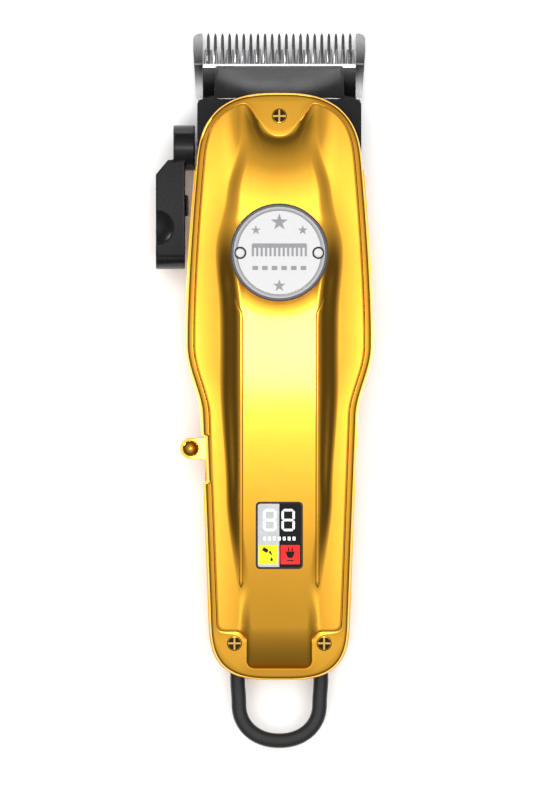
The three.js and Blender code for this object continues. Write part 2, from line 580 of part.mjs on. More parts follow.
function addBlades() {
  piece('comb_blade', combBlade(), STEEL, clipper);
  piece('cutter_blade', cutterBlade(), CHROME, clipper);
  piece('cutter_yoke', cutterYoke(), BLACK, clipper);
  piece('blade_carriage', bladeCarriage(), DARK_STEEL, clipper);
  piece('tension_spring', tensionSpring(), STEEL, clipper);
  piece('blade_screw_left', bladeScrew(), STEEL, clipper, -CARRIAGE.screwX, CARRIAGE.screwY);
  piece('blade_screw_right', bladeScrew(), STEEL, clipper, CARRIAGE.screwX, CARRIAGE.screwY);
}

function addLever() {
  const lever = new THREE.Group();
  lever.position.set(0, LEVER.y, LEVER.z);
  clipper.add(lever);
  piece('taper_lever', taperLever(), BLACK, lever);
  piece('lever_shaft', rodX(LEVER.shaftR, LEVER.bossIn + GAP, -NOSE.cheek - 0.1), STEEL, lever);
  piece('lever_cam', leverCam(), DARK_STEEL, lever);
  const head = solid(rodX(2.8, LEVER.bossOut, LEVER.bossOut + 0.9));
  const slot = solid(box(LEVER.bossOut - 1, LEVER.bossOut + 0.5, -0.35, 0.35, -2.2, 2.2));
  piece('lever_screw', head.subtract(slot), CHROME, lever);
}

function addMotor() {
  const motor = new THREE.Group();
  motor.position.set(0, 0, MOTOR.z);
  clipper.add(motor);
  const { r, rearY, frontY, shaftR, hubR, pinR } = MOTOR;
  const can = solid(rodY(r, rearY, frontY, 32)).add(solid(rodY(3.4, frontY - 0.5, frontY + 1.4, 20)));
  const bore = rodY(shaftR + GAP, rearY + 4, frontY + 4, 16);
  piece('motor_can', can.subtract(solid(bore)), STEEL, motor);
  piece('motor_end_cap', rodY(r - 1.2, rearY - 3.2, rearY - GAP, 24), BLACK, motor);
  piece('motor_shaft', rodY(shaftR, rearY + 5, 61, 16), STEEL, motor);
  const hub = solid(rodY(hubR, 62, 70, 24)).add(solid(rodY(pinR, 69.5, 78.6, 14).translate(0, 0, STROKE)));
  piece('eccentric_hub', hub.subtract(solid(rodY(shaftR + GAP, 60, 61.5, 12))), STEEL, motor);
  let bracket = solid(box(-13, 13, frontY + 1.8, frontY + 3.6, -8.2, 8.2));
  bracket = bracket.subtract(solid(rodY(3.9, frontY, frontY + 6, 20)));
  [-1, 1].forEach((sign) => {
    bracket = bracket.subtract(solid(rodY(1.3, frontY, frontY + 6, 12).translate(sign * 7, 0, 0)));
    const screw = solid(rodY(1, frontY + GAP, frontY + 4, 12)).add(solid(rodY(2, frontY + 3.9, frontY + 5, 16)));
    piece(sign < 0 ? 'bracket_screw_left' : 'bracket_screw_right', screw, STEEL, motor, sign * 7);
  });
  piece('motor_bracket', bracket, DARK_STEEL, motor);
}

function addPower() {
  const { r, z, rearY, frontY } = BATTERY;
  piece('battery_cell', rodY(r, rearY, frontY, 28), BLUE, clipper, 0, 0, z);
  const cradle = solid(box(-9, 9, rearY + 9, frontY - 6, 3, z - 4));
  const bed = solid(rodY(r + GAP, rearY, frontY, 28).translate(0, 0, z));
  piece('battery_cradle', cradle.subtract(bed), BLACK, clipper);
  piece('circuit_board', box(-9, 9, -51, 10, 23.2, 24.4), GREEN, clipper);
  piece('charge_socket', chargeSocket(), STEEL, clipper, 0, 0, PORT.z);
  piece('socket_surround', socketSurround(), BLACK, clipper, 0, 0, PORT.z);
}

const portSlab = (grow, corner, y0, y1) => solid(
  slab(roundedRect(PORT.width + 2 * grow, PORT.height + 2 * grow, corner), -y1, -y0, 5).rotateX(Math.PI / 2),
);
function socketSurround() {
  const outer = portSlab(PORT.surround - GAP, 2.3, BODY.tailY + 0.2, BODY.tailY + 2.6);
  return outer.subtract(portSlab(GAP, 1.6, BODY.tailY - 2, BODY.tailY + 4));
}
function chargeSocket() {
  const shell = portSlab(0, 1.5, BODY.tailY + 0.9, BODY.tailY + 9);
  const tongue = solid(box(-3.2, 3.2, BODY.tailY + 2, BODY.tailY + 8, -0.4, 0.4));
  return shell.subtract(portSlab(-0.4, 1.1, BODY.tailY - 2, BODY.tailY + 7.5)).add(tongue);
}

function addToggle() {
  const toggle = new THREE.Group();
  toggle.position.set(0, TOGGLE.y, TOGGLE.z);
  clipper.add(toggle);
  const t = TOGGLE;
  const ball = solid(new THREE.SphereGeometry(t.ballR, 16, 10).translate(t.ballX, 0, 0));
  const stub = box(t.ballX + 0.6, -15.8, -t.width / 2, t.width / 2, -t.height / 2, t.height / 2);
  piece('power_toggle', ball.add(solid(stub)), GOLD, toggle);
  piece('toggle_slider', box(-15.5, -14.2, -4.4, 4.4, -2.8, 2.8), BLACK, toggle);
  piece('switch_body', box(-13.9, -10.2, -13, 5, -3.6, 3.6), BLACK, toggle);
}

addShells();
addBadge();
addDisplay();
addBlades();
addLever();
addMotor();
addPower();
addToggle();
piece('hanging_loop', hangingLoop(), BLACK, clipper, 0, 0, LOOP.z);

export default clipper;
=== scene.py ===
import json
import math

import bmesh
import bpy
import numpy as np
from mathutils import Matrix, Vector


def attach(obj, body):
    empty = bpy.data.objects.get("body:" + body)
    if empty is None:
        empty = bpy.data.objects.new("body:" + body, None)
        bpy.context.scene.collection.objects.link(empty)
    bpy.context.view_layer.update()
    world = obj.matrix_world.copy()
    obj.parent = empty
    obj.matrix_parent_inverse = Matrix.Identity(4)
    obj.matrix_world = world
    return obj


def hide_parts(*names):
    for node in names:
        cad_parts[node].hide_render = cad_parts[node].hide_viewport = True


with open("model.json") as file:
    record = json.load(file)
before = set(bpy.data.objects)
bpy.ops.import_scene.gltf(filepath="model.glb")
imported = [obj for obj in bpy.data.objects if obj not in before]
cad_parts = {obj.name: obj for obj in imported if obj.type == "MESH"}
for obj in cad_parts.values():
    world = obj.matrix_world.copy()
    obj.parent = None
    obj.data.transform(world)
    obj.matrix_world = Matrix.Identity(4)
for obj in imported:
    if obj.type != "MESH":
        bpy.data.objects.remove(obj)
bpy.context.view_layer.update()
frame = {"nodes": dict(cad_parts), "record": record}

MM = 0.001  # shapes are worked out in millimetres and stored in metres

# ------------------------------------------------------------------ dimensions, mm
NOSE_Y, TAIL_Y = 81.6, -74.5
SHOULDER_Y, HIP_Y = 62.5, -58.0
HEAD_HALF, HEAD_TAPER = 25.0, 2.6
GRIP_HALF, GRIP_TAPER = 21.07, 0.038
WAIST_FROM, WAIST_TO = -4.0, 14.5
NOSE_ROUND, TAIL_ROUND = 2.8, 3.2
BACK_END_Y = 61.0
WALL = 1.8

RIM_Z, CROWN_Y, RIM_RADIUS, REAR_RADIUS = 30.5, 15.0, 480.0, 660.0
SIDE_WALL = 6.5
RIM_WIDTH, RIM_FALL, EDGE_ROUND, EDGE_LEAN, SEAM = 2.1, 0.07, 1.1, 0.12, 0.12
STEP_HEIGHT, GROOVE_DEPTH = 0.5, 0.2
SPINE_HEIGHT, SPINE_DROOP, SPINE_FLAT = 4.3, 2218.0, 2200.0
HEAD_DROP, FRONT_FADE, REAR_RAMP, CHANNEL_SINK = 2.9, 5.2, 11.5, 1.3
WING_SLOPE, WING_BOW = 0.04, 0.0045
# Lifts of the wings over the rim line: slope, where it starts, width of the bend.
REAR_LIFTS = ((0.018, 8.0, 8.0), (0.014, -35.0, 6.0))
FRONT_LIFT = (0.052, 42.0, 6.0)
SPINE_HALF, SPINE_FLANK, BADGE_SWELL = 10.0, 5.6, 1.2
TAIL_CREASE_Y, LOBE_X, LOBE_Y = -71.6, 9.0, -61.6
TONGUE_HALF, TONGUE_DEPTH, TONGUE_ROUND = 9.8, 9.3, 1.25
TONGUE_CORE_Y, TONGUE_CORE_R = 75.4, 5.9
COVER_INSET = 0.3

BADGE_Y, BADGE_Z, BADGE_R, PLATE_R = 39.0, 35.4, 13.0, 11.1
BADGE_POCKET_R, BADGE_PIN_X = 12.3, 10.35
HOLLOW_DEPTH, HOLLOW_FADE = 0.36, 1.8
SCREW_SPOTS = {
    "cover_screw_front": (0.0, 75.3),
    "cover_screw_rear_left": (-11.9, -64.6),
    "cover_screw_rear_right": (11.9, -64.6),
}
SCREW_R = 1.7
WINDOW_Y, WINDOW_W, WINDOW_L, WINDOW_TILT = -35.9, 12.5, 18.0, 0.125
NOTCH_FRONT, NOTCH_REAR, NOTCH_DEPTH, NOTCH_SOFT = -9.5, -21.9, 1.0, 0.3
RIB_X, RIB_FRONT, RIB_REAR, RIB_HOOK = 10.1, 23.1, -49.8, (11.7, 26.6)

BACK_ROUND, FLAT_CUT = 3.0, 0.7
HEAD_LIFT, HEAD_FROM, TAIL_LIFT, TAIL_FROM = 3.5, 30.0, 5.0, -40.0

LEVER_Y, LEVER_Z, BOSS_R = 67.1, 13.0, 6.05
TOGGLE_Y, TOGGLE_Z, BALL_X, BALL_R = -12.9, 18.0, -23.6, 2.88
LOOP_Z = 10.5


# ------------------------------------------------------------------ small maths
def smooth(a, b, v):
    t = min(1.0, max(0.0, (v - a) / (b - a)))
    return t * t * (3 - 2 * t)


def mix(a, b, t):
    return a + (b - a) * t


def smooth_min(a, b, k):
    h = min(1.0, max(0.0, 0.5 + 0.5 * (b - a) / k))
    return mix(b, a, h) - k * h * (1 - h)


def smooth_max(a, b, k):
    return -smooth_min(-a, -b, k)


def soft_past(v, k):
    """Zero below 0, then rising one for one, with a bend k wide."""
    return (v + math.sqrt(v * v + k * k)) / 2


def soft_corner(v, power=0.6):
    """A sine or cosine bent towards a squarer turn."""
    return math.copysign(abs(v) ** power, v)


def super_round(t, n):
    t = min(1.0, max(0.0, t))
    return max(0.0, 1 - t**n) ** (1 / n)


# ------------------------------------------------------------------ the housing's surfaces
def half_width(y):
    head = HEAD_HALF - HEAD_TAPER * max(0.0, (y - 18) / 44.5) ** 1.5
    grip = GRIP_HALF + GRIP_TAPER * y
    flank = mix(grip, head, smooth(WAIST_FROM, WAIST_TO, y))
    front = super_round((y - SHOULDER_Y) / (NOSE_Y - SHOULDER_Y), NOSE_ROUND)
    rear = super_round((HIP_Y - y) / (HIP_Y - TAIL_Y), TAIL_ROUND)
    return flank * front * rear


def notch(x, y):
    """How deep the switch recess bites into the left flank."""
    if x > 0:
        return 0.0
    behind = smooth(NOTCH_REAR - NOTCH_SOFT, NOTCH_REAR + NOTCH_SOFT, y)
    ahead = smooth(-NOTCH_FRONT - NOTCH_SOFT, -NOTCH_FRONT + NOTCH_SOFT, -y)
    return NOTCH_DEPTH * behind * ahead


def rim_z(y):
    """Height of the rim: two long arcs that meet at the crown."""
    radius = RIM_RADIUS if y > CROWN_Y else REAR_RADIUS
    return RIM_Z - (y - CROWN_Y) ** 2 / (2 * radius)


def edge_z(y):
    """Height where the side wall meets the rounded edge."""
    return rim_z(y) - RIM_FALL - EDGE_ROUND


def parting_z(y):
    return rim_z(y) - SIDE_WALL


def front_distance(x, y):
    """Distance behind the front arch and its tongue, which reaches into the face around the front screw."""
    across = min(1.0, abs(x) / TONGUE_HALF)
    turn = math.pi * across**TONGUE_ROUND
    arch = SHOULDER_Y + (NOSE_Y - RIM_WIDTH - SHOULDER_Y) * super_round(abs(x) / 20.3, NOSE_ROUND)
    steepness = TONGUE_DEPTH * math.pi * TONGUE_ROUND / (2 * TONGUE_HALF)
    steepness *= math.sin(turn) * across ** (TONGUE_ROUND - 1)
    return (arch - TONGUE_DEPTH * (1 + math.cos(turn)) / 2 - y) / math.hypot(1, steepness)


def rear_distance(x, y):
    """Distance ahead of the rear crease, which runs round the two screw lobes and across the tail channel."""
    return smooth_min(smooth_max(LOBE_X - abs(x), y - LOBE_Y, 3.0), y - TAIL_CREASE_Y, 2.5)


def crease(x, y):
    """Distance inside the crease: sides, front arch with its tongue, rear end between the two screw lobes."""
    side = half_width(y) - RIM_WIDTH - abs(x)
    return smooth_min(smooth_min(side, front_distance(x, y), 1.5), rear_distance(x, y), 2)


def wing_rise(x, y):
    """Height of the wings over the rim line."""
    side = max(0.0, smooth_min(half_width(y) - RIM_WIDTH - abs(x), 9, 3))
    lift = sum(slope * soft_past(start - y, bend) for slope, start, bend in REAR_LIFTS)
    slope, start, bend = FRONT_LIFT
    lift += slope * soft_past(y - start, bend)
    bow = WING_BOW * (1 - 0.9 * smooth(42, 60, y))
    return STEP_HEIGHT + WING_SLOPE * side + bow * side**2 + lift


def rear_fade(y):
    """One ahead of the tail channel's ramp, falling to nought at the rear crease."""
    return 1 - (1 - min(1.0, max(0.0, (y - TAIL_CREASE_Y) / REAR_RAMP))) ** 2


def spine_rise(y):
    """Height of the spine's flat top over the rim line."""
    if y < CROWN_Y:
        rise = SPINE_HEIGHT - (y - CROWN_Y) ** 2 / SPINE_DROOP
        return (rise + CHANNEL_SINK) * rear_fade(y) - CHANNEL_SINK
    rise = SPINE_HEIGHT + (y - CROWN_Y) ** 2 * (0.5 / RIM_RADIUS - 1 / SPINE_FLAT)
    return rise - HEAD_DROP * smooth(30, 48, y)


def spine_share(x, y):
    """One on the spine's top, nought on the wings; it narrows towards both ends and swells at the badge."""
    grip, rear = smooth(5, -25, y), smooth(-25, -56, y)
    start = SPINE_HALF - 3.2 * smooth(54, 70, y) + 0.2 * grip - 2.9 * rear
    start += BADGE_SWELL * math.exp(-(((y - BADGE_Y) / 10) ** 2))
    width = SPINE_FLANK - 1.7 * smooth(40, 56, y) - 1.8 * grip - 0.4 * rear
    return 1 - smooth(start, start + width, abs(x))


def badge_hollow(x, y):
    """Depth of the shallow dip that runs round the rear half of the badge."""
    out = max(0.0, math.hypot(x, y - BADGE_Y) - BADGE_R)
    return HOLLOW_DEPTH * math.exp(-out / HOLLOW_FADE) * smooth(42, 32, y) * smooth(12, 9, abs(x))


def panel_z(x, y):
    """Height of the raised face: wings and spine, sinking towards the tongue and the tail channel."""
    wing = wing_rise(x, y)
    channel = (wing + CHANNEL_SINK) * rear_fade(y) - CHANNEL_SINK
    wing = mix(wing, channel, smooth(10.8, 8.0, abs(x)))
    rise = mix(wing, spine_rise(y), spine_share(x, y))
    if y > 40:
        from_tongue = math.hypot(x, y - TONGUE_CORE_Y) - TONGUE_CORE_R
        rise *= 1 - math.exp(-max(0.0, from_tongue) / FRONT_FADE) * smooth(16, 7, abs(x))
    return rim_z(y) + rise - badge_hollow(x, y)


def pocket(x, y):
    """Depth of the recesses that the badge, the display and the screws sit in."""
    if math.hypot(x, y - BADGE_Y) < BADGE_POCKET_R:
        return 1.0
    if abs(x) < WINDOW_W / 2 - 0.45 and abs(y - WINDOW_Y) < WINDOW_L / 2 - 0.45:
        return 1.3
    return 0.0


# ------------------------------------------------------------------ mesh helpers
def add_object(name, data):
    obj = bpy.data.objects.new(name, data)
    bpy.context.scene.collection.objects.link(obj)
    return obj


def mesh_object(name, verts, faces, scale=MM, weld=1e-7):
    mesh = bpy.data.meshes.new(name)
    mesh.from_pydata([tuple(c * scale for c in v) for v in verts], [], [tuple(f) for f in faces])
    obj = add_object(name, mesh)
    bm = bmesh.new()
    bm.from_mesh(mesh)
    bmesh.ops.remove_doubles(bm, verts=bm.verts, dist=weld)
    bmesh.ops.dissolve_degenerate(bm, edges=bm.edges, dist=weld)
    bmesh.ops.recalc_face_normals(bm, faces=bm.faces)
    bm.to_mesh(mesh)
    bm.free()
    return obj


def finish_piece(obj, material, body, replaces=(), angle=35.0):
    obj.data.materials.clear()
    obj.data.materials.append(material)
    obj.data.shade_smooth()
    obj.data.set_sharp_from_angle(angle=math.radians(angle))
    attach(obj, body)
    if replaces:
        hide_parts(*replaces)
    return obj


def bevel(obj, width, segments=3, angle=30.0):
    mod = obj.modifiers.new("bevel", "BEVEL")
    mod.width = width * MM
    mod.segments = segments
    mod.limit_method = "ANGLE"
    mod.angle_limit = math.radians(angle)
    mod.harden_normals = True
    return obj


def grid_faces(rows, cols, wrap=True, offset=0):
    faces = []
    for r in range(rows - 1):
        for c in range(cols if wrap else cols - 1):
            d = (c + 1) % cols
            here, ahead = offset + r * cols, offset + (r + 1) * cols
            faces.append((here + c, here + d, ahead + d, ahead + c))
    return faces


def lathe(name, profile, centre, axis="z", sides=96):
    """Turns a closed (radius, height) profile about an axis through centre."""
    verts, faces = [], []
    n = len(profile)
    for k in range(sides):
        a = 2 * math.pi * k / sides
        for r, h in profile:
            p = (r * math.cos(a), r * math.sin(a), h)
            if axis == "x":
                p = (p[2], p[0], p[1])
            elif axis == "y":
                p = (p[1], p[2], p[0])
            verts.append([centre[i] + p[i] for i in range(3)])
    for k in range(sides):
        m = (k + 1) % sides
        for i in range(n):
            j = (i + 1) % n
            faces.append((k * n + i, k * n + j, m * n + j, m * n + i))
    return mesh_object(name, verts, faces)


def rounded_rect(width, length, corner, steps=8):
    w, h = width / 2 - corner, length / 2 - corner
    points = []
    for cx, cy, a0 in ((w, h, 0), (-w, h, 90), (-w, -h, 180), (w, -h, 270)):
        for i in range(steps + 1):
            a = math.radians(a0 + 90 * i / steps)
            points.append((cx + corner * math.cos(a), cy + corner * math.sin(a)))
    return points


def prism(name, outline, z0, z1, place=None, holes=()):
    """A flat outline with optional holes, raised from z0 to z1, then moved by place((x, y, z))."""
    bm = bmesh.new()
    edges = []
    for loop in (outline, *holes):
        vs = [bm.verts.new((x, y, z0)) for x, y in loop]
        edges += [bm.edges.new((vs[i], vs[(i + 1) % len(vs)])) for i in range(len(vs))]
    bmesh.ops.triangle_fill(bm, use_beauty=True, use_dissolve=True, edges=edges)
    faces = list(bm.faces)
    made = bmesh.ops.extrude_face_region(bm, geom=faces)
    top = [v for v in made["geom"] if isinstance(v, bmesh.types.BMVert)]
    bmesh.ops.translate(bm, verts=top, vec=(0, 0, z1 - z0))
    bmesh.ops.recalc_face_normals(bm, faces=bm.faces)
    for v in bm.verts:
        p = place(tuple(v.co)) if place else tuple(v.co)
        v.co = Vector(p) * MM
    mesh = bpy.data.meshes.new(name)
    bm.to_mesh(mesh)
    bm.free()
    return add_object(name, mesh)


def sweep(name, path, section, normal_of):
    """Sweeps a closed section (side, up) along a list of points; normal_of(i) gives the up direction."""
    rings = []
    n = len(path)
    for i, p in enumerate(path):
        ahead = Vector(path[min(n - 1, i + 1)]) - Vector(path[max(0, i - 1)])
        up = Vector(normal_of(i)).normalized()
        side = ahead.normalized().cross(up).normalized()
        shape = section(i) if callable(section) else section
        rings.append([tuple(Vector(p) + side * s + up * u) for s, u in shape])
    m = len(rings[0])
    verts = [v for ring in rings for v in ring]
    faces = grid_faces(n, m)
    faces.append(tuple(range(m)))
    faces.append(tuple(reversed(range((n - 1) * m, n * m))))
    return mesh_object(name, verts, faces)


def carved(name, add, cut, voxel, smoothing):
    """Joins and cuts closed temporary objects in mm, then remeshes and relaxes the result into soft edges."""
    base = add[0]
    for op, others in (("UNION", add[1:]), ("DIFFERENCE", cut)):
        for other in others:
            mod = base.modifiers.new(op, "BOOLEAN")
            mod.operation, mod.object, mod.solver = op, other, "EXACT"
    remesh = base.modifiers.new("voxel", "REMESH")
    remesh.mode, remesh.voxel_size = "VOXEL", voxel
    relax = base.modifiers.new("relax", "SMOOTH")
    relax.factor, relax.iterations = 0.5, smoothing
    graph = bpy.context.evaluated_depsgraph_get()
    mesh = bpy.data.meshes.new_from_object(base.evaluated_get(graph))
    for v in mesh.vertices:
        v.co *= MM
    for other in (*add, *cut):
        bpy.data.objects.remove(other, do_unlink=True)
    return add_object(name, mesh)


# ------------------------------------------------------------------ materials
def new_material(name):
    material = bpy.data.materials.new(name)
    material.use_nodes = True
    nodes = material.node_tree.nodes
    return material, nodes, material.node_tree.links, nodes["Principled BSDF"]


def noise(nodes, links, scale, detail=4.0, stretch=(1, 1, 1)):
    coords = nodes.new("ShaderNodeTexCoord")
    mapping = nodes.new("ShaderNodeMapping")
    mapping.inputs["Scale"].default_value = stretch
    tex = nodes.new("ShaderNodeTexNoise")
    tex.inputs["Scale"].default_value = scale
    tex.inputs["Detail"].default_value = detail
    links.new(coords.outputs["Object"], mapping.inputs["Vector"])
    links.new(mapping.outputs["Vector"], tex.inputs["Vector"])
    return tex.outputs["Fac"]


def ramp(nodes, links, source, stops):
    node = nodes.new("ShaderNodeValToRGB")
    elements = node.color_ramp.elements
    while len(elements) < len(stops):
        elements.new(0.5)
    for element, (place, colour) in zip(elements, stops):
        element.position = place
        element.color = (*colour, 1) if len(colour) == 3 else colour
    links.new(source, node.inputs["Fac"])
    return node.outputs["Color"]


def grey(v):
    return (v, v, v)


def bump(nodes, links, shader, source, strength, distance):
    node = nodes.new("ShaderNodeBump")
    node.inputs["Strength"].default_value = strength
    node.inputs["Distance"].default_value = distance
    links.new(source, node.inputs["Height"])
    links.new(node.outputs["Normal"], shader.inputs["Normal"])


def surface(name, light, dark, rough, metallic=0.0, scale=900.0, stretch=(1, 1, 1), coat=0.0, coat_rough=0.05,
            bump_strength=0.0, bump_distance=0.00002, emission=None, specular=0.5):
    """A procedural surface: colour and roughness wander between two values, with a fine bump."""
    material, nodes, links, shader = new_material(name)
    field = noise(nodes, links, scale, stretch=stretch)
    links.new(ramp(nodes, links, field, [(0.3, dark), (0.7, light)]), shader.inputs["Base Color"])
    broad = noise(nodes, links, scale / 9, stretch=stretch)
    links.new(ramp(nodes, links, broad, [(0.3, grey(rough[0])), (0.7, grey(rough[1]))]),
              shader.inputs["Roughness"])
    shader.inputs["Metallic"].default_value = metallic
    shader.inputs["Specular IOR Level"].default_value = specular
    shader.inputs["Coat Weight"].default_value = coat
    shader.inputs["Coat Roughness"].default_value = coat_rough
    if emission:
        shader.inputs["Emission Color"].default_value = (*emission[0], 1)
        shader.inputs["Emission Strength"].default_value = emission[1]
    if bump_strength:
        bump(nodes, links, shader, field, bump_strength, bump_distance)
    return material


MAT = {
    "gold": surface("mirror_gold", (1.0, 0.49, 0.028), (0.985, 0.475, 0.024), (0.08, 0.13), 1.0, 220.0,
                    coat=0.6, coat_rough=0.04),
    "black_plastic": surface("black_gloss", (0.012, 0.012, 0.0125), (0.008, 0.008, 0.0085), (0.2, 0.27),
                             0.0, 2400.0, bump_strength=0.04, specular=0.12),
    # this black also serves as painted shade on the hood's front strip, the blade-end pads and the
    # switch-slot sheet
    "lever_black": surface("black_satin", (0.007, 0.007, 0.0075), (0.004, 0.004, 0.0045), (0.24, 0.3), 0.0,
                           3200.0, bump_strength=0.03, specular=0.4),
    "hood_black": surface("hood_gloss", (0.013, 0.013, 0.0135), (0.01, 0.01, 0.0105), (0.22, 0.28), 0.0,
                          2400.0, bump_strength=0.03, specular=0.6),
    # painted shade: dark bronze standing in for the shade inside the screws' cross recesses
    "screw_painted_shade": surface("screw_painted_shade", (0.03, 0.016, 0.004), (0.014, 0.007, 0.002), (0.3, 0.4), 0.2,
                            2600.0, specular=0.15),
    "loop_black": surface("loop_satin", (0.02, 0.02, 0.0205), (0.014, 0.014, 0.0145), (0.3, 0.38), 0.0,
                          3600.0, bump_strength=0.08, specular=0.25),
    "inner_plastic": surface("inner_plastic", (0.1, 0.1, 0.105), (0.07, 0.07, 0.075), (0.45, 0.55), 0.0,
                             1800.0),
    "screw_chrome": surface("plated_screw", (1.0, 0.62, 0.16), (0.9, 0.5, 0.1), (0.12, 0.2), 1.0, 1500.0),
    "chrome": surface("chrome", (0.86, 0.86, 0.87), (0.78, 0.78, 0.8), (0.06, 0.12), 1.0, 800.0),
    "badge_satin": surface("badge_satin", (0.6, 0.6, 0.605), (0.55, 0.55, 0.555), (0.6, 0.7), 0.0, 5200.0,
                           specular=0.15),
    "display_glass": surface("display_black", (0.004, 0.004, 0.005), (0.002, 0.002, 0.003), (0.2, 0.25),
                             0.0, 900.0, specular=0.25),
    "blade_steel": surface("blade_steel", (0.5, 0.5, 0.51), (0.4, 0.4, 0.41), (0.18, 0.26), 1.0, 900.0,
                           stretch=(7, 0.6, 1), bump_strength=0.05),
    "cutter_chrome": surface("cutter_steel", (0.82, 0.82, 0.84), (0.66, 0.66, 0.68), (0.16, 0.26), 1.0,
                             1100.0, stretch=(7, 0.6, 1), bump_strength=0.04),
    "steel": surface("plain_steel", (0.6, 0.6, 0.62), (0.45, 0.45, 0.47), (0.28, 0.4), 1.0, 1600.0),
    "dark_steel": surface("black_steel", (0.05, 0.05, 0.055), (0.03, 0.03, 0.033), (0.35, 0.45), 0.6, 1600.0),
    "battery_wrap": surface("shrink_sleeve", (0.05, 0.2, 0.55), (0.04, 0.16, 0.45), (0.3, 0.4), 0.0, 900.0),
    "board": surface("solder_mask", (0.02, 0.2, 0.09), (0.015, 0.15, 0.07), (0.35, 0.45), 0.0, 900.0),
    "print_grey": surface("grey_print", (0.27, 0.27, 0.28), (0.22, 0.22, 0.23), (0.4, 0.5), 0.2, 4200.0),
    "silver_band": surface("silver_band", (0.42, 0.42, 0.43), (0.34, 0.34, 0.35), (0.35, 0.45), 0.3, 3200.0),
    # painted reflection: pale silver for the left half of the display glass, standing in for a reflection on
    # it
    "display_painted_reflection": surface("display_painted_reflection", (0.46, 0.48, 0.47), (0.4, 0.4, 0.41), (0.35, 0.45), 0.0,
                              700.0),
    "digit_white": surface("digit_white", (0.95, 0.95, 0.95), (0.88, 0.88, 0.88), (0.4, 0.5), 0.0, 3000.0,
                           emission=((1, 1, 1), 0.15)),
    "lamp_yellow": surface("lamp_yellow", (0.86, 0.83, 0.0), (0.8, 0.78, 0.0), (0.4, 0.5), 0.0, 2600.0),
    "lamp_red": surface("lamp_red", (0.95, 0.01, 0.008), (0.88, 0.006, 0.005), (0.4, 0.5), 0.0, 2600.0),
}


# ------------------------------------------------------------------ gold face cover
FAN_FRONT, FAN_REAR = (0.0, 55.0), (0.0, -50.0)


def face_rays():
    """Origins on the centreline and outward directions, once round the face."""
    rays = []
    flank = np.linspace(FAN_REAR[1], FAN_FRONT[1], 251)
    rays += [((0.0, y), (1.0, 0.0)) for y in flank]
    fan = np.linspace(0, math.pi, 192)[1:-1]
    rays += [(FAN_FRONT, (math.cos(a), math.sin(a))) for a in fan]
    rays += [((0.0, y), (-1.0, 0.0)) for y in flank[::-1]]
    rays += [(FAN_REAR, (-math.cos(a), -math.sin(a))) for a in fan]
    return rays


def reach(origin, direction, inside):
    """Distance along a ray to where inside((x, y)) turns negative."""
    low, high = 0.0, 60.0
    for _ in range(40):
        mid = (low + high) / 2
        if inside(origin[0] + direction[0] * mid, origin[1] + direction[1] * mid) > 0:
            low = mid
        else:
            high = mid
    return low


def outline_inside(x, y):
    if not TAIL_Y < y < NOSE_Y:
        return -1.0
    return half_width(y) - COVER_INSET - notch(x, y) - abs(x)


def crease_inside(x, y):
    if not TAIL_Y < y < NOSE_Y:
        return -1.0
    return crease(x, y)


# Crease rows: distance inside the crease, share of the groove's depth, share of the panel's height.
CREASE_ROWS = [(0.14, 0.5, 0), (0.28, 1.0, 0), (0.33, 0.45, 1), (0.42, 0.12, 1),
               (0.56, 0, 1), (0.9, 0, 1), (1.5, 0, 1), (2.2, 0, 1)]


def crease_z(x, y, groove, panel):
    """Height near the crease; the groove fades out round the tongue and the tail channel."""
    crisp = 1 - 0.85 * math.exp(-((x / 7.5) ** 4)) * (y > 60) - smooth(-62.4, -64, y)
    return (panel_z(x, y) if panel else rim_z(y)) - groove * GROOVE_DEPTH * crisp


def face_cover():
    rays = face_rays()
    count = len(rays)
    rings = []
    edge = [reach(o, d, outline_inside) for o, d in rays]
    fold = [min(reach(o, d, crease_inside), e - 1.2) for (o, d), e in zip(rays, edge)]
    rows = [[min(f, reach(o, v, lambda x, y: crease_inside(x, y) - d)) for (o, v), f in zip(rays, fold)]
            for d, _, _ in CREASE_ROWS]

    def ring(radius, height):
        points = []
        for i, (origin, direction) in enumerate(rays):
            r = radius(i)
            x, y = origin[0] + direction[0] * r, origin[1] + direction[1] * r
            points.append((x, y, height(x, y)))
        rings.append(points)

    # side wall, then the rounded edge
    for t in np.linspace(0, 1, 5):
        ring(lambda i: edge[i] - EDGE_LEAN * t, lambda x, y: mix(parting_z(y) + SEAM, edge_z(y), t))
    for a in np.linspace(0, math.pi / 2, 8)[1:]:
        ring(lambda i: edge[i] - EDGE_LEAN - EDGE_ROUND * (1 - math.cos(a)),
             lambda x, y: edge_z(y) + EDGE_ROUND * math.sin(a))
    # rim to the crease
    for t in np.linspace(0, 1, 8)[1:]:
        ring(lambda i: mix(edge[i] - EDGE_LEAN - EDGE_ROUND, fold[i], t),
             lambda x, y: rim_z(y) - RIM_FALL * (1 - t))
    # groove and step, then the raised panel to the centreline
    for row, (_, groove, panel) in zip(rows, CREASE_ROWS):
        ring(lambda i: row[i], lambda x, y: crease_z(x, y, groove, panel))
    inner = rows[-1]
    for t in np.linspace(0, 1, 66)[1:]:
        ring(lambda i: inner[i] * (1 - t), lambda x, y: panel_z(x, y) - pocket(x, y))
    outer = len(rings)
    # underside, back out to the parting line
    for t in (1, 0.8, 0.6, 0.4, 0.2, 0.0):
        ring(lambda i: inner[i] * (1 - t), lambda x, y: panel_z(x, y) - WALL - pocket(x, y))
    ring(lambda i: edge[i] - WALL, lambda x, y: rim_z(y) - WALL)
    ring(lambda i: edge[i] - WALL, lambda x, y: parting_z(y) + SEAM)
    verts = [p for points in rings for p in points]
    faces = grid_faces(outer, count) + grid_faces(len(rings) - outer, count, offset=outer * count)
    last = (len(rings) - 1) * count
    faces += [(last + i, last + (i + 1) % count, (i + 1) % count, i) for i in range(count)]
    obj = mesh_object("cover_shell", verts, faces)
    return finish_piece(obj, MAT["gold"], "housing", ["face_cover"], angle=60)


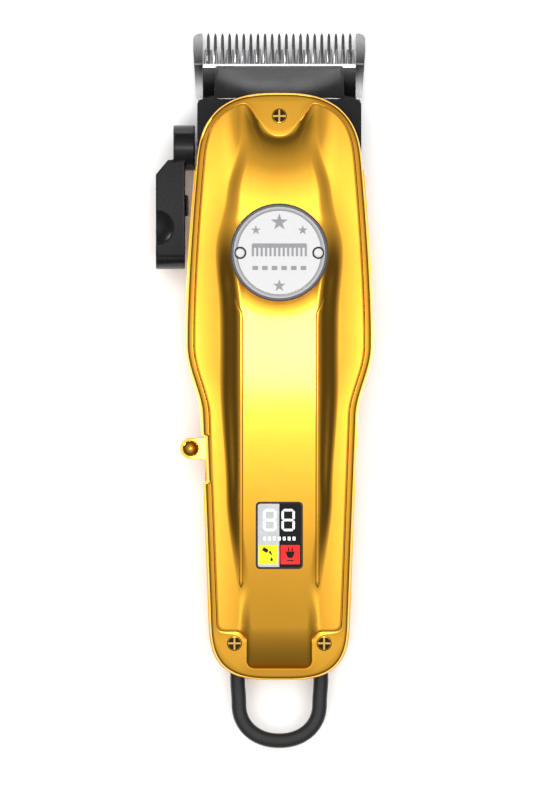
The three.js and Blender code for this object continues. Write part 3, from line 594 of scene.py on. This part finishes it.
# ------------------------------------------------------------------ gold back shell
def back_points(y, inset, low_limit, steps):
    """One cross-section of the shell from flank to flank, moved inwards by inset."""
    tail_t = (HIP_Y - y) / (HIP_Y - TAIL_Y)
    w = max(0.0, half_width(y) - inset)
    head = HEAD_LIFT * max(0.0, (y - HEAD_FROM) / (BACK_END_Y - HEAD_FROM)) ** 2
    tail = TAIL_LIFT * max(0.0, (TAIL_FROM - y) / (TAIL_FROM - TAIL_Y)) ** 2
    depth = (parting_z(y) - (head + tail - FLAT_CUT + inset)) * super_round(tail_t, 5)
    top = parting_z(y) - 0.15
    points = []
    for i in range(steps + 1):
        a = math.pi * i / steps
        c, s = math.cos(a), math.sin(a)
        x = soft_corner(c, 2 / BACK_ROUND) * w
        z = parting_z(y) - depth * s ** (2 / BACK_ROUND)
        z = min(top, max(low_limit, z))
        if z > 12:
            x += notch(x, y) * smooth(13.2, 14.2, z) * (1 if x < 0 else 0)
        points.append((x, y, z))
    return points


def back_shell():
    ys = [HIP_Y - (HIP_Y - TAIL_Y) * math.sin(a) ** (2 / TAIL_ROUND) for a in np.linspace(math.pi / 2, 0, 40)]
    ys += list(np.linspace(HIP_Y, BACK_END_Y, 300))[1:]
    steps = 96
    rings = []
    for y in ys:
        inner_y = max(y, TAIL_Y + WALL)
        rings.append(back_points(y, 0, 0, steps) + back_points(inner_y, WALL, WALL, steps)[::-1])
    n = len(rings[0])
    verts = [p for points in rings for p in points]
    faces = grid_faces(len(rings), n)
    for i in range(steps):
        last = (len(rings) - 1) * n
        faces.append((last + i, last + i + 1, last + n - 2 - i, last + n - 1 - i))
        faces.append((i, i + 1, n - 2 - i, n - 1 - i))
    obj = mesh_object("lower_shell", verts, faces)
    return finish_piece(obj, MAT["gold"], "housing", ["back_shell"], angle=60)


# ------------------------------------------------------------------ spine beads
def spine_beads():
    for side, label in ((-1, "left"), (1, "right")):
        knots = [RIB_HOOK, (RIB_X + 0.75, RIB_FRONT + 1.4), (RIB_X + 0.12, RIB_FRONT),
                 (RIB_X, RIB_FRONT - 1.4)]
        knots += [(RIB_X, y) for y in np.linspace(RIB_FRONT - 3, RIB_REAR, 60)]
        path = []
        for (x, y), (nx, ny) in zip(knots, knots[1:]):
            path += [(mix(x, nx, t), mix(y, ny, t)) for t in (0, 0.5)]
        path.append(knots[-1])
        lifted = [(side * x, y, panel_z(side * x, y) + 0.05) for x, y in path]
        last = len(path) - 1

        def section(i):
            grow = min(1.0, 0.25 + 0.4 * min(i, last - i))
            swell = 1.25 if last - i < 3 else 1.0
            across, up = 0.52 * grow * swell, 0.5 * grow
            return [(across * soft_corner(math.cos(a)), up * soft_corner(math.sin(a)))
                    for a in np.linspace(0, 2 * math.pi, 25)[:-1]]

        obj = sweep("spine_bead_" + label, lifted, section, lambda i: (0, 0, 1))
        finish_piece(obj, MAT["gold"], "housing", angle=60)


# ------------------------------------------------------------------ cover screws
def follow_rim(obj, y):
    """Tilts a piece that was built level at y so that it lies along the rim."""
    for vertex in obj.data.vertices:
        vertex.co.z += (rim_z(vertex.co.y / MM) - rim_z(y)) * MM
    return obj


def cover_screws():
    """Cross-head screws: a low ring round a shallow recess painted dark as shade, with the cross standing in
    it.
    """
    r = SCREW_R
    for name, (x, y) in SCREW_SPOTS.items():
        z = rim_z(y)
        # the nearly level head disc is painted dark as the shade of the recess
        recess = [(0, z - 1.3), (r + 0.02, z - 1.3), (r + 0.02, z + 0.05), (0, z + 0.03)]
        obj = follow_rim(lathe(name + "_head", recess, (x, y, 0), sides=64), y)
        finish_piece(obj, MAT["screw_painted_shade"], "housing", [name], angle=50)
        for k, turn in enumerate((0, math.pi / 2)):
            c, s = math.cos(turn), math.sin(turn)
            arm = [(x + u * c - v * s, y + u * s + v * c) for u, v in rounded_rect(2 * r, 0.5, 0.1, 4)]
            bar = follow_rim(prism(f"{name}_cross_{k}", arm, z - 0.6, z + 0.13 + 0.005 * k), y)
            finish_piece(bevel(bar, 0.04, 2), MAT["screw_chrome"], "housing", angle=40)
        seat = [(r - 0.02, z - 0.5), (r + 0.34, z - 0.5), (r + 0.3, z), (r + 0.08, z + 0.15)]
        seat += [(r, z + 0.16), (r - 0.02, z + 0.1)]
        ring = follow_rim(lathe(name + "_seat", seat, (x, y, 0), sides=64), y)
        finish_piece(ring, MAT["gold"], "housing", angle=25)


# ------------------------------------------------------------------ badge
def star(cx, cy, r):
    points = []
    for i in range(10):
        a = math.pi / 2 + i * math.pi / 5
        q = r if i % 2 == 0 else r * 0.4
        points.append((cx + q * math.cos(a), cy + q * math.sin(a)))
    return points


def barber_comb(cx, cy, width, height, teeth):
    """Outline of a comb pictogram: a spine along the top with teeth below it."""
    left, right = cx - width / 2, cx + width / 2
    top, spine, foot = cy + height / 2, cy + height / 2 - height * 0.34, cy - height / 2
    pitch = width / (2 * teeth - 1)
    points = [(right - 0.3, top), (left + 0.3, top), (left, top - 0.3)]
    for i in range(teeth):
        x = left + 2 * i * pitch
        points += [(x, foot), (x + pitch, foot)]
        if i < teeth - 1:
            points += [(x + pitch, spine), (x + 2 * pitch, spine)]
    points.append((right, top - 0.3))
    return points


def badge_ring(name, profile, mat, replaces=(), centre=(0, BADGE_Y, 0), sides=160, angle=40):
    """One turned piece of the badge."""
    obj = lathe(name, profile, centre, sides=sides)
    return finish_piece(obj, MAT[mat], "housing", replaces, angle)


def badge():
    z = BADGE_Z
    drum = [(12.0, z - 5.4), (BADGE_R, z - 5.4), (BADGE_R, z - 0.25), (12.85, z - 0.1), (12.0, z - 0.1)]
    badge_ring("badge_drum", drum, "gold")
    rim = [(12.25, z - 0.9), (12.98, z - 0.9), (13.0, z + 0.28), (12.55, z + 0.64), (12.36, z + 0.7)]
    rim += [(12.2, z + 0.6), (12.12, z + 0.1)]
    badge_ring("badge_rim", rim, "chrome", ["badge_ring"], angle=30)
    band = [(PLATE_R + 0.05, z - 0.6), (12.15, z - 0.6), (12.15, z + 0.42), (11.9, z + 0.5)]
    band += [(PLATE_R + 0.25, z + 0.32), (PLATE_R + 0.05, z + 0.2)]
    badge_ring("badge_band", band, "silver_band")
    plate = [(0, z - 0.6), (PLATE_R, z - 0.6), (PLATE_R, z + 0.14), (PLATE_R - 0.14, z + 0.26), (0, z + 0.26)]
    badge_ring("badge_disc", plate, "badge_satin", ["badge_plate"])
    for side, label in ((-1, "left"), (1, "right")):
        spot = (side * BADGE_PIN_X, BADGE_Y - 0.1, 0)
        pin = [(0, z - 0.2), (1.12, z - 0.2), (1.12, z + 0.42), (0.95, z + 0.56), (0, z + 0.62)]
        badge_ring("badge_pin_cap_" + label, pin, "badge_satin", ["badge_pin_" + label], spot, 48)
        collar = [(1.2, z - 0.2), (1.62, z - 0.2), (1.62, z + 0.44), (1.5, z + 0.52), (1.3, z + 0.52)]
        collar.append((1.2, z + 0.44))
        badge_ring("badge_pin_collar_" + label, collar, "dark_steel", (), spot, 48)
    marks = [star(0, 47, 2.35), star(-6.2, 44.9, 1.35), star(6.2, 44.9, 1.35), star(0, 30.2, 1.75)]
    marks.append(barber_comb(0, 39.7, 14.6, 3.4, 13))
    marks += [rounded_rect(1.5, 1.1, 0.2, 3) for _ in range(6)]
    for i, shape in enumerate(marks):
        if i >= 5:
            dx = (i - 7.5) * 2.55
            shape = [(x + dx, y + 34.9) for x, y in shape]
        mark = prism(f"badge_mark_{i}", shape, z + 0.2, z + 0.31)
        finish_piece(mark, MAT["print_grey"], "housing", angle=30)


# ------------------------------------------------------------------ display
def placed(points, angle, dx, dy):
    """The points turned by angle, then moved."""
    c, s = math.cos(angle), math.sin(angle)
    return [(x * c - y * s + dx, x * s + y * c + dy) for x, y in points]


def box_at(x, y, width, length, corner):
    return placed(rounded_rect(width, length, corner, 2), 0, x, y)


def digit_segments(cx, cy, w, h, t):
    """Seven bars of a digit, each a hexagon."""
    gap, d = 0.1, t / 2
    bars = []
    for y in (cy + h / 2, cy, cy - h / 2):
        x0, x1 = cx - w / 2 + gap, cx + w / 2 - gap
        bars.append([(x0, y), (x0 + d, y + d), (x1 - d, y + d), (x1, y), (x1 - d, y - d), (x0 + d, y - d)])
    for x in (cx - w / 2, cx + w / 2):
        for y0, y1 in ((cy + gap, cy + h / 2 - gap), (cy - h / 2 + gap, cy - gap)):
            bars.append([(x, y0), (x + d, y0 + d), (x + d, y1 - d), (x, y1), (x - d, y1 - d),
                         (x - d, y0 + d)])
    return bars


def display():
    """A framed window tilted with the spine; its marks are thin plates on a dark half and a silver half,
    whose pale silver is a painted reflection.
    """
    c, s = math.cos(WINDOW_TILT), math.sin(WINDOW_TILT)
    z0 = panel_z(0, WINDOW_Y)

    def place(p):
        return (p[0], WINDOW_Y + p[1] * c - p[2] * s, z0 + p[1] * s + p[2] * c)

    def flat(name, outline, low, high, mat, slot="display_glass", replaces=(), soften=0.0, holes=()):
        obj = prism(name, outline, low, high, place, holes)
        if soften:
            bevel(obj, soften)
        return finish_piece(obj, MAT[mat], "housing", replaces, angle=30)

    flat("display_rim", rounded_rect(WINDOW_W, WINDOW_L, 1.15), -1.2, 0.1, "dark_steel", "black_plastic",
         ["display_frame"], 0.12, [rounded_rect(WINDOW_W - 1.0, WINDOW_L - 1.0, 0.75)])
    w, h = WINDOW_W / 2 - 0.5, WINDOW_L / 2 - 0.5
    flat("display_dark_half", rounded_rect(2 * w, 2 * h, 0.7), -1.0, -0.12, "display_glass",
         replaces=["display_lens"])
    # the left half is painted pale silver as a reflection on the dark glass
    left = [p for p in rounded_rect(2 * w - 0.1, 2 * h - 0.1, 0.65) if p[0] < 0]
    flat("display_reflection_half", left + [(0, -h + 0.05), (0, h - 0.05)], -0.2, -0.08, "display_painted_reflection")
    for k, cx in enumerate((-2.55, 2.35)):
        for i, bar in enumerate(digit_segments(cx, 4.1, 2.9, 5.3, 0.62)):
            flat(f"digit_{k}_{i}", bar, -0.1, -0.03, "digit_white")
    for i in range(7):
        flat(f"charge_tick_{i}", box_at(-3.9 + 1.3 * i, -0.85, 0.75, 1.0, 0.12), -0.1, -0.03, "digit_white")
    flat("oil_lamp", box_at(-2.95, -5.15, 5.0, 5.1, 0.1), -0.1, -0.05, "lamp_yellow")
    flat("mains_lamp", box_at(2.9, -5.15, 5.1, 5.1, 0.1), -0.1, -0.05, "lamp_red")
    sweep_angles = np.linspace(math.radians(150), math.radians(390), 14)
    drop = [(0.36 * math.cos(a), 0.36 * math.sin(a)) for a in sweep_angles]
    plug = [(-1.1, 0.6), (-1.1, 0.35), (-0.85, -0.7), (-0.4, -1.15)]
    inks = {
        "oil_bottle": placed(rounded_rect(1.5, 1.0, 0.2, 3), -0.5, -3.7, -3.9),
        "oil_spout": placed([(-0.35, 0.35), (-0.35, -0.35), (0.9, -0.1), (0.9, 0.1)], -0.95, -2.45, -4.5),
        "oil_drop": placed(drop + [(0, 0.72)], 0, -2.05, -6.5),
        "plug_body": placed(plug + [(-x, y) for x, y in reversed(plug)], 0, 2.9, -4.9),
        "plug_pin_0": box_at(2.4, -3.75, 0.36, 1.1, 0.1),
        "plug_pin_1": box_at(3.4, -3.75, 0.36, 1.1, 0.1),
        "plug_base": box_at(2.9, -6.75, 1.7, 0.34, 0.1),
    }
    for name, outline in inks.items():
        flat(name, outline, -0.06, -0.01, "display_glass")


# ------------------------------------------------------------------ nose hood
HOOD_HALF, HOOD_FRONT, HOOD_REAR, HOOD_LIP, HOOD_TOP, HOOD_WALL = 17.2, 89.0, 80.3, 9.45, 19.05, 1.6


def nose_hood():
    """Crowned plate that slopes from the housing down to the moving blade, with rounded front corners."""
    across, along = 61, 26
    verts = []
    for layer in (0, 1):
        for j in range(along):
            t = j / (along - 1)
            for i in range(across):
                u = -1 + 2 * i / (across - 1)
                corner = 0.5 * (1 - super_round(max(0.0, (abs(u) - 0.97) / 0.03), 2)) * (1 - t) ** 4
                y = mix(HOOD_FRONT - corner, HOOD_REAR, t)
                climb = 0.75 * t + 0.25 * math.sin(t * math.pi / 2)
                z = mix(HOOD_LIP + 1.3, HOOD_TOP, climb)
                z -= 2.3 * abs(u) ** 2.2 * (0.25 + 0.75 * t)
                z -= 1.1 * smooth(0.06, 0, t) * 0.35
                if layer:
                    y = max(HOOD_REAR, y - HOOD_WALL * 0.55)
                    z = max(HOOD_LIP, z - HOOD_WALL)
                verts.append((HOOD_HALF * u, y, z))
    n = across * along
    faces = grid_faces(along, across, wrap=False)
    faces += [f[::-1] for f in grid_faces(along, across, wrap=False, offset=n)]
    border = list(range(across))
    border += [j * across + across - 1 for j in range(1, along)]
    border += [(along - 1) * across + i for i in range(across - 2, -1, -1)]
    border += [j * across for j in range(along - 2, 0, -1)]
    for a, b in zip(border, border[1:] + border[:1]):
        faces.append((a, b, b + n, a + n))
    obj = bevel(mesh_object("nose_cowl", verts, faces), 0.22, 3, 50)
    finish_piece(obj, MAT["hood_black"], "housing", ["nose_hood"], 40)
    # painted shade: a darker black strip under the hood's front edge stands in for the shadow line there
    lip = prism("nose_lip_shade_strip", rounded_rect(2 * HOOD_HALF - 0.6, 0.9, 0.4), HOOD_LIP + 0.02, HOOD_LIP + 0.85,
                lambda p: (p[0], p[1] + HOOD_FRONT - 0.46, p[2]))
    finish_piece(bevel(lip, 0.12), MAT["lever_black"], "housing", angle=30)


# ------------------------------------------------------------------ blades
def tooth(spec, cx):
    """Rows across one tooth: its flanks fall away from the centreline and the tip is rounded."""
    rows = 16
    shares = (-1, -0.45, 0, 0.45, 1)
    verts = []
    for j in range(rows):
        t = j / (rows - 1)
        y = mix(spec["root_y"] - 0.4, spec["tip_y"], t)
        half = mix(spec["root_w"] / 2, spec["tip_w"] / 2, t**0.85) * (1 - 0.5 * smooth(0.94, 1, t))
        for share in shares:
            z = spec["top_z"](cx, y) - spec["flank"] * max(0.0, abs(share) - spec["flat"]) * half
            verts.append((cx + share * half, y, z))
        verts += [(cx + half, y, spec["base_z"]), (cx - half, y, spec["base_z"])]
    n = len(shares) + 2
    faces = grid_faces(rows, n)
    faces += [tuple(range(n)), tuple(range(rows * n - 1, rows * n - n - 1, -1))]
    return verts, faces


def blade(name, spec, body, slot, replaces):
    """A plate in rows along Y, with its teeth set into its front edge; columns past the edge end on it."""
    verts = []
    ys, columns = spec["ys"], spec["columns"]
    for y in ys:
        xs = [math.copysign(min(spec["half"](y), abs(c)), c) for c in columns]
        verts += [(x, y, spec["top_z"](x, y)) for x in xs] + [(x, y, spec["base_z"]) for x in xs[::-1]]
    n = 2 * len(columns)
    faces = grid_faces(len(ys), n)
    last = (len(ys) - 1) * n
    for i in range(len(columns) - 1):
        faces.append((i, i + 1, n - 2 - i, n - 1 - i))
        faces.append((last + i, last + i + 1, last + n - 2 - i, last + n - 1 - i))
    first = (spec["teeth"] - 1) / 2 * spec["pitch"]
    for k in range(spec["teeth"]):
        more, quads = tooth(spec, k * spec["pitch"] - first)
        faces += [tuple(i + len(verts) for i in quad) for quad in quads]
        verts += more
    obj = mesh_object(name, verts, faces)
    bevel(obj, 0.05, 2, 50)
    return finish_piece(obj, MAT[slot], body, replaces, 40)


def comb_top(x, y):
    ridge, rear = 89.6, 80.3
    if y > ridge:
        t = max(0.0, (97.8 - y) / (97.8 - ridge))
        return 4.15 + 0.85 * t + 1.4 * t**3.6
    if abs(x) > 20.4 and y > rear - 0.4:
        t = min(1.0, max(0.0, (ridge - y) / (ridge - rear)))
        return 6.4 - 1.3 * (1 - (1 - t) ** 4) - 0.75 * t
    return 6.4


def cutter_top(x, y):
    if y > 88.9:
        return 8.9 - 0.7 * ((y - 88.9) / 4.6) ** 1.3
    return 8.9 - tail_dip(y) * smooth(16.3, 16.4, abs(x))


def tail_dip(y):
    return 1.8 * min(1.0, max(0.0, (88.9 - y) / 8.0)) ** 2.2


def comb_half(y):
    if y < 74:
        return mix(14.8, 21.7, smooth(67.0, 74.0, y))
    if y < 80.25:
        return 21.7
    side = mix(22.1, 22.95, min(1.0, max(0.0, (y - 80) / 13)))
    return side - 1.7 * (1 - super_round((y - 96.1) / 1.7, 2)) if y > 96.1 else side


def cutter_half(y):
    return mix(15.8, 20.35, smooth(80.5, 80.9, y))


def blades():
    comb = {"half": comb_half, "top_z": comb_top, "base_z": 4.0, "tip_y": 97.8, "root_y": 86.4, "teeth": 21,
            "pitch": 1.893, "root_w": 1.35, "tip_w": 0.68, "flank": 0.78, "flat": 0.22,
            "columns": [-99, -20.46, -20.4, 0, 20.4, 20.46, 99],
            "ys": [67.5, 68.5, 70, 72, 74, 80.2, 80.3, *np.linspace(80.7, 86.4, 16)]}
    blade("fixed_blade", comb, "carriage", "blade_steel", ["comb_blade"])
    corner = [96.1 + 1.7 * math.sin(a) for a in np.linspace(0.2, 1.5, 8)]
    rail_ys = [*np.linspace(86.3, 89.55, 9), *np.linspace(89.65, 96.1, 16), *corner]
    for side, label in ((-1, "left"), (1, "right")):
        rail = {**comb, "ys": rail_ys, "teeth": 0, "columns": sorted((side * 20.46, side * 99))}
        blade("fixed_blade_rail_" + label, rail, "carriage", "blade_steel", ())
    cutter = {"half": cutter_half, "top_z": cutter_top, "base_z": 6.7, "tip_y": 93.5, "root_y": 89.6,
              "teeth": 28, "pitch": 1.457, "root_w": 1.05, "tip_w": 0.42, "flank": 0.9, "flat": 0.35,
              "columns": [-99, -16.4, -16.3, 0, 16.3, 16.4, 99],
              "ys": [77.0, 80.5, *np.linspace(80.9, 88.9, 14), 89.6]}
    blade("moving_blade", cutter, "cutter", "cutter_chrome", ["cutter_blade"])
    for side, label in ((-1, "left"), (1, "right")):
        # black pads painted over the blade's steel ends as shade
        blade_end_shade_pad(side, label)


def blade_end_shade_pad(side, label):
    """Black pad on an end of the moving blade, following its rear slope; its black is painted shade over the
    steel end.
    """
    verts, rows = [], 18
    for j in range(rows):
        y = mix(79.65, 88.6, j / (rows - 1))
        top = 9.25 - tail_dip(y)
        verts += [(side * x, y, z) for x, z in ((16.45, top), (20.38, top), (20.38, 6.8), (16.45, 6.8))]
    faces = grid_faces(rows, 4) + [(0, 1, 2, 3), tuple(rows * 4 - 1 - i for i in range(4))]
    cap = bevel(mesh_object("blade_end_shade_pad_" + label, verts, faces), 0.15, 3, 50)
    finish_piece(cap, MAT["lever_black"], "cutter", angle=30)


# ------------------------------------------------------------------ taper lever
def temp_prism(outline, low, high, axes):
    """A prism in mm between low and high; axes maps (u, v, w) to x, y, z."""
    n = len(outline)
    verts = [axes(u, v, low) for u, v in outline] + [axes(u, v, high) for u, v in outline]
    faces = [tuple(range(n)), tuple(range(2 * n - 1, n - 1, -1))]
    faces += [(i, (i + 1) % n, (i + 1) % n + n, i + n) for i in range(n)]
    return mesh_object("temp", verts, faces, scale=1.0, weld=1e-6)


def temp_ball(radius, centre):
    bm = bmesh.new()
    bmesh.ops.create_uvsphere(bm, u_segments=64, v_segments=40, radius=radius)
    for v in bm.verts:
        v.co += Vector(centre)
    mesh = bpy.data.meshes.new("temp_ball")
    bm.to_mesh(mesh)
    bm.free()
    return add_object("temp_ball", mesh)


def circle(r, cx=0.0, cy=0.0, sides=72):
    return [(cx + r * math.cos(a), cy + r * math.sin(a)) for a in np.linspace(0, 2 * math.pi, sides + 1)[:-1]]


def upright(u, v, w):
    return (u, v, w)


def sideways(u, v, w):
    """An outline in Y and Z, raised along X."""
    return (w, u, v)


def slimmed(u, v, w):
    """As sideways, with the arm's outer face lower than its inner face."""
    return (w, u, LEVER_Z + (v - LEVER_Z) * (0.8 if w < -30 else 1))


def lever_outline():
    """Side view of the arm in Y and Z: round at the boss, waisted, blunt at the tail."""
    y0, z0 = LEVER_Y, LEVER_Z
    front = [(y0 + 5.9 * math.cos(a), z0 + 5.9 * math.sin(a))
             for a in np.linspace(-math.pi / 2, math.pi / 2, 30)]
    arm = [(u, 5.35 - 0.9 * math.sin(math.pi * (y0 - u) / 34)) for u in np.linspace(y0 - 2, 38.5, 24)]
    tail = [(38.2 - 3.4 * math.sin(a), 5.35 * math.cos(a)) for a in np.linspace(0.15, math.pi - 0.15, 16)]
    return front + [(u, z0 + v) for u, v in arm + tail] + [(u, z0 - v) for u, v in reversed(arm)]


DISH_R, DISH_AT = 7.2, (-33.2, 46.0, 22.3)


def taper_lever():
    """Arm, boss and stop nub, cut clear of the boss and chamfered, with a thumb dish and a screw recess."""
    y0, z0 = LEVER_Y, LEVER_Z
    paddle = temp_prism(lever_outline(), -32.85, -25.05, slimmed)
    boss = temp_prism(circle(BOSS_R, y0, z0), -28.15, -22.45, sideways)
    nub_outline = [(49.0, z0 - 1.6), (54.5, z0 - 1.6), (54.5, z0 + 1.6), (49.0, z0 + 1.6)]
    nub = temp_prism(nub_outline, -25.4, -24.15, sideways)
    clear = temp_prism([(-34, 63.85), (-28.2, 63.85), (-28.2, 76), (-34, 76)], 0, 30, upright)
    corner = [(-34, 59.2), (-32.9, 59.9), (-29.3, 64.2), (-29.3, 66), (-34, 66)]
    chamfer = temp_prism(corner, 0, 30, upright)
    dish = temp_ball(DISH_R, DISH_AT)
    recess = temp_prism(circle(3.1, y0, z0), -30, -26.95, sideways)
    obj = carved("taper_lever_body", [paddle, boss, nub], [clear, chamfer, dish, recess], 0.2, 4)
    finish_piece(obj, MAT["lever_black"], "lever", ["taper_lever"], 60)


# ------------------------------------------------------------------ power toggle
def power_toggle():
    """The ball on its flat foot, and a thin dark sheet on the notch wall, painted shade standing in for the
    well that the foot slides in.
    """
    profile = [(BALL_R * math.sin(a), -BALL_R * math.cos(a)) for a in np.linspace(0.0, math.pi, 49)]
    obj = lathe("toggle_ball", profile, (BALL_X, TOGGLE_Y, TOGGLE_Z), axis="x", sides=72)
    finish_piece(obj, MAT["gold"], "toggle", ["power_toggle"], 50)
    outline = [(-19.0, -9.95), (-19.0, -16.0), (-24.0, -15.55), (-24.0, -10.35)]
    foot = prism("toggle_foot", outline, TOGGLE_Z - 1.75, TOGGLE_Z + 1.75)
    finish_piece(bevel(foot, 0.2), MAT["gold"], "toggle", angle=40)
    # painted shade: a flat black sheet in place of the shaded switch slot
    well = prism("switch_slot_shade_sheet", rounded_rect(11.5, 3.9, 1.8), 0, 0.16,
                 lambda p: (-19.4 - p[2], -15.7 + p[0], TOGGLE_Z + p[1]))
    finish_piece(well, MAT["lever_black"], "housing", angle=40)


# ------------------------------------------------------------------ hanging loop
def hanging_loop():
    """A band that leaves the tail, runs round a soft bend and comes back."""
    mid_root, mid_far = 11.1, 10.75
    leg_end, bend_y, end_y = -68.0, -81.0, -90.8
    leg = [(mid_root, y) for y in np.linspace(leg_end, -74.5, 8)]
    leg += [(mix(mid_root, mid_far, smooth(-74.5, bend_y, y)), y) for y in np.linspace(-75, bend_y, 14)[1:]]
    bend = [(mid_far * soft_corner(math.cos(a), 0.93), mix(bend_y, end_y, math.sin(a) ** 0.93))
            for a in np.linspace(0, math.pi, 61)[1:-1]]
    path = leg + bend + [(-x, y) for x, y in reversed(leg)]
    section = [(1.98 * soft_corner(math.cos(a), 0.62), 2.2 * soft_corner(math.sin(a), 0.62))
               for a in np.linspace(0, 2 * math.pi, 41)[:-1]]
    obj = sweep("loop_band", [(x, y, LOOP_Z) for x, y in path], section, lambda i: (0, 0, 1))
    finish_piece(obj, MAT["loop_black"], "housing", ["hanging_loop"], 60)


# ------------------------------------------------------------------ carried-over CAD nodes
REPLACED = {"face_cover", "back_shell", "badge_ring", "badge_plate", "badge_pin_left", "badge_pin_right",
            "display_frame", "display_lens", "nose_hood", "comb_blade", "cutter_blade", "taper_lever",
            "power_toggle", "hanging_loop", *SCREW_SPOTS}
BEVELLED = {"nose_frame": 0.45, "lever_screw": 0.12, "blade_screw_left": 0.12, "blade_screw_right": 0.12,
            "blade_carriage": 0.15, "socket_surround": 0.2, "charge_socket": 0.08, "cutter_yoke": 0.2,
            "switch_body": 0.2, "toggle_slider": 0.15}


def dress_cad_nodes():
    slots = {part["node"]: part["material_slot"] for part in frame["record"]["subparts"]}
    for name, obj in frame["nodes"].items():
        if name in REPLACED:
            continue
        obj.data.materials.clear()
        obj.data.materials.append(MAT[slots[name]])
        bevel(obj, BEVELLED.get(name, 0.1), 2, 40)


# ------------------------------------------------------------------ stage
CENTRE_X, CENTRE_Y = -0.0022, 0.0005
VIEW_HEIGHT, LENS, SENSOR = 0.21094, 600.0, 36.0


def camera():
    data = bpy.data.cameras.new("camera")
    data.lens, data.sensor_width = LENS, SENSOR
    data.clip_start, data.clip_end = 0.1, 50.0
    obj = add_object("camera", data)
    obj.location = (CENTRE_X, CENTRE_Y, VIEW_HEIGHT / 2 / (SENSOR / 2 / LENS) + 0.03)
    bpy.context.scene.camera = obj


def floor():
    size = 3.0
    mesh = bpy.data.meshes.new("floor")
    corners = [(-size, -size, 0), (size, -size, 0), (size, size, 0), (-size, size, 0)]
    mesh.from_pydata(corners, [], [(0, 1, 2, 3)])
    obj = add_object("floor", mesh)
    material, nodes, links, shader = new_material("pale_floor")
    field = noise(nodes, links, 30.0)
    links.new(ramp(nodes, links, field, [(0.3, grey(0.94)), (0.7, grey(0.96))]), shader.inputs["Base Color"])
    shader.inputs["Roughness"].default_value = 0.9
    shader.inputs["Specular IOR Level"].default_value = 0.1
    mesh.materials.append(material)


def soft_box(name, location, size, radiance, glossy):
    """Rectangular light aimed at the origin; radiance is what a mirror would show."""
    data = bpy.data.lights.new(name, "AREA")
    data.shape, data.size, data.size_y = "RECTANGLE", *size
    data.energy = radiance * math.pi * size[0] * size[1]
    obj = add_object(name, data)
    obj.location = location
    obj.rotation_euler = (-Vector(location)).to_track_quat("-Z", "Y").to_euler()
    obj.visible_glossy = glossy
    obj.visible_camera = False


def around(azimuth, zenith, distance):
    """A point seen from the origin at these angles in degrees; azimuth 0 is the head's end."""
    a, z = math.radians(azimuth), math.radians(zenith)
    flat = distance * math.sin(z)
    return (flat * math.sin(a), flat * math.cos(a), distance * math.cos(z))


# Studio dome: brightness against the angle from straight up, in degrees.
DOME = [(0, 10.0), (2.5, 8.5), (4.2, 3.6), (6, 1.9), (8.4, 1.55), (11, 1.25), (12.6, 1.08), (18, 0.7),
        (25, 0.56), (35, 0.4), (48, 0.25), (60, 0.14), (76, 0.1), (84, 0.14), (90, 0.3)]


def dome():
    world = bpy.data.worlds.new("studio_dome")
    bpy.context.scene.world = world
    world.use_nodes = True
    nodes, links = world.node_tree.nodes, world.node_tree.links
    background = nodes["Background"]
    background.inputs["Color"].default_value = (1, 1, 1, 1)
    coords = nodes.new("ShaderNodeTexCoord")
    split = nodes.new("ShaderNodeSeparateXYZ")
    angle = nodes.new("ShaderNodeMath")
    angle.operation = "ARCCOSINE"
    scale = nodes.new("ShaderNodeMath")
    scale.operation = "DIVIDE"
    scale.inputs[1].default_value = math.pi / 2
    curve = nodes.new("ShaderNodeFloatCurve")
    curve.mapping.extend = "HORIZONTAL"
    points = curve.mapping.curves[0].points
    top = max(v for _, v in DOME)
    while len(points) < len(DOME):
        points.new(0.5, 0.5)
    for point, (degrees, value) in zip(points, DOME):
        point.location = (degrees / 90, value / top)
    curve.mapping.update()
    gain = nodes.new("ShaderNodeMath")
    gain.operation = "MULTIPLY"
    gain.inputs[1].default_value = top
    links.new(coords.outputs["Generated"], split.inputs["Vector"])
    links.new(split.outputs["Z"], angle.inputs[0])
    links.new(angle.outputs["Value"], scale.inputs[0])
    links.new(scale.outputs["Value"], curve.inputs["Value"])
    links.new(curve.outputs["Value"], gain.inputs[0])
    links.new(gain.outputs["Value"], background.inputs["Strength"])


camera()
floor()
dome()
soft_box("floor_fill", (0, 0, 2.5), (2.5, 2.5), 4.7, False)
soft_box("head_horizon", around(0, 86, 2.6), (0.9, 0.3), 4.6, True)
soft_box("lever_kicker", around(-55, 84, 2.6), (0.8, 0.5), 9.0, True)
bpy.context.scene.view_settings.view_transform = "Standard"

face_cover()
back_shell()
spine_beads()
cover_screws()
badge()
display()
nose_hood()
blades()
taper_lever()
power_toggle()
hanging_loop()
dress_cad_nodes()
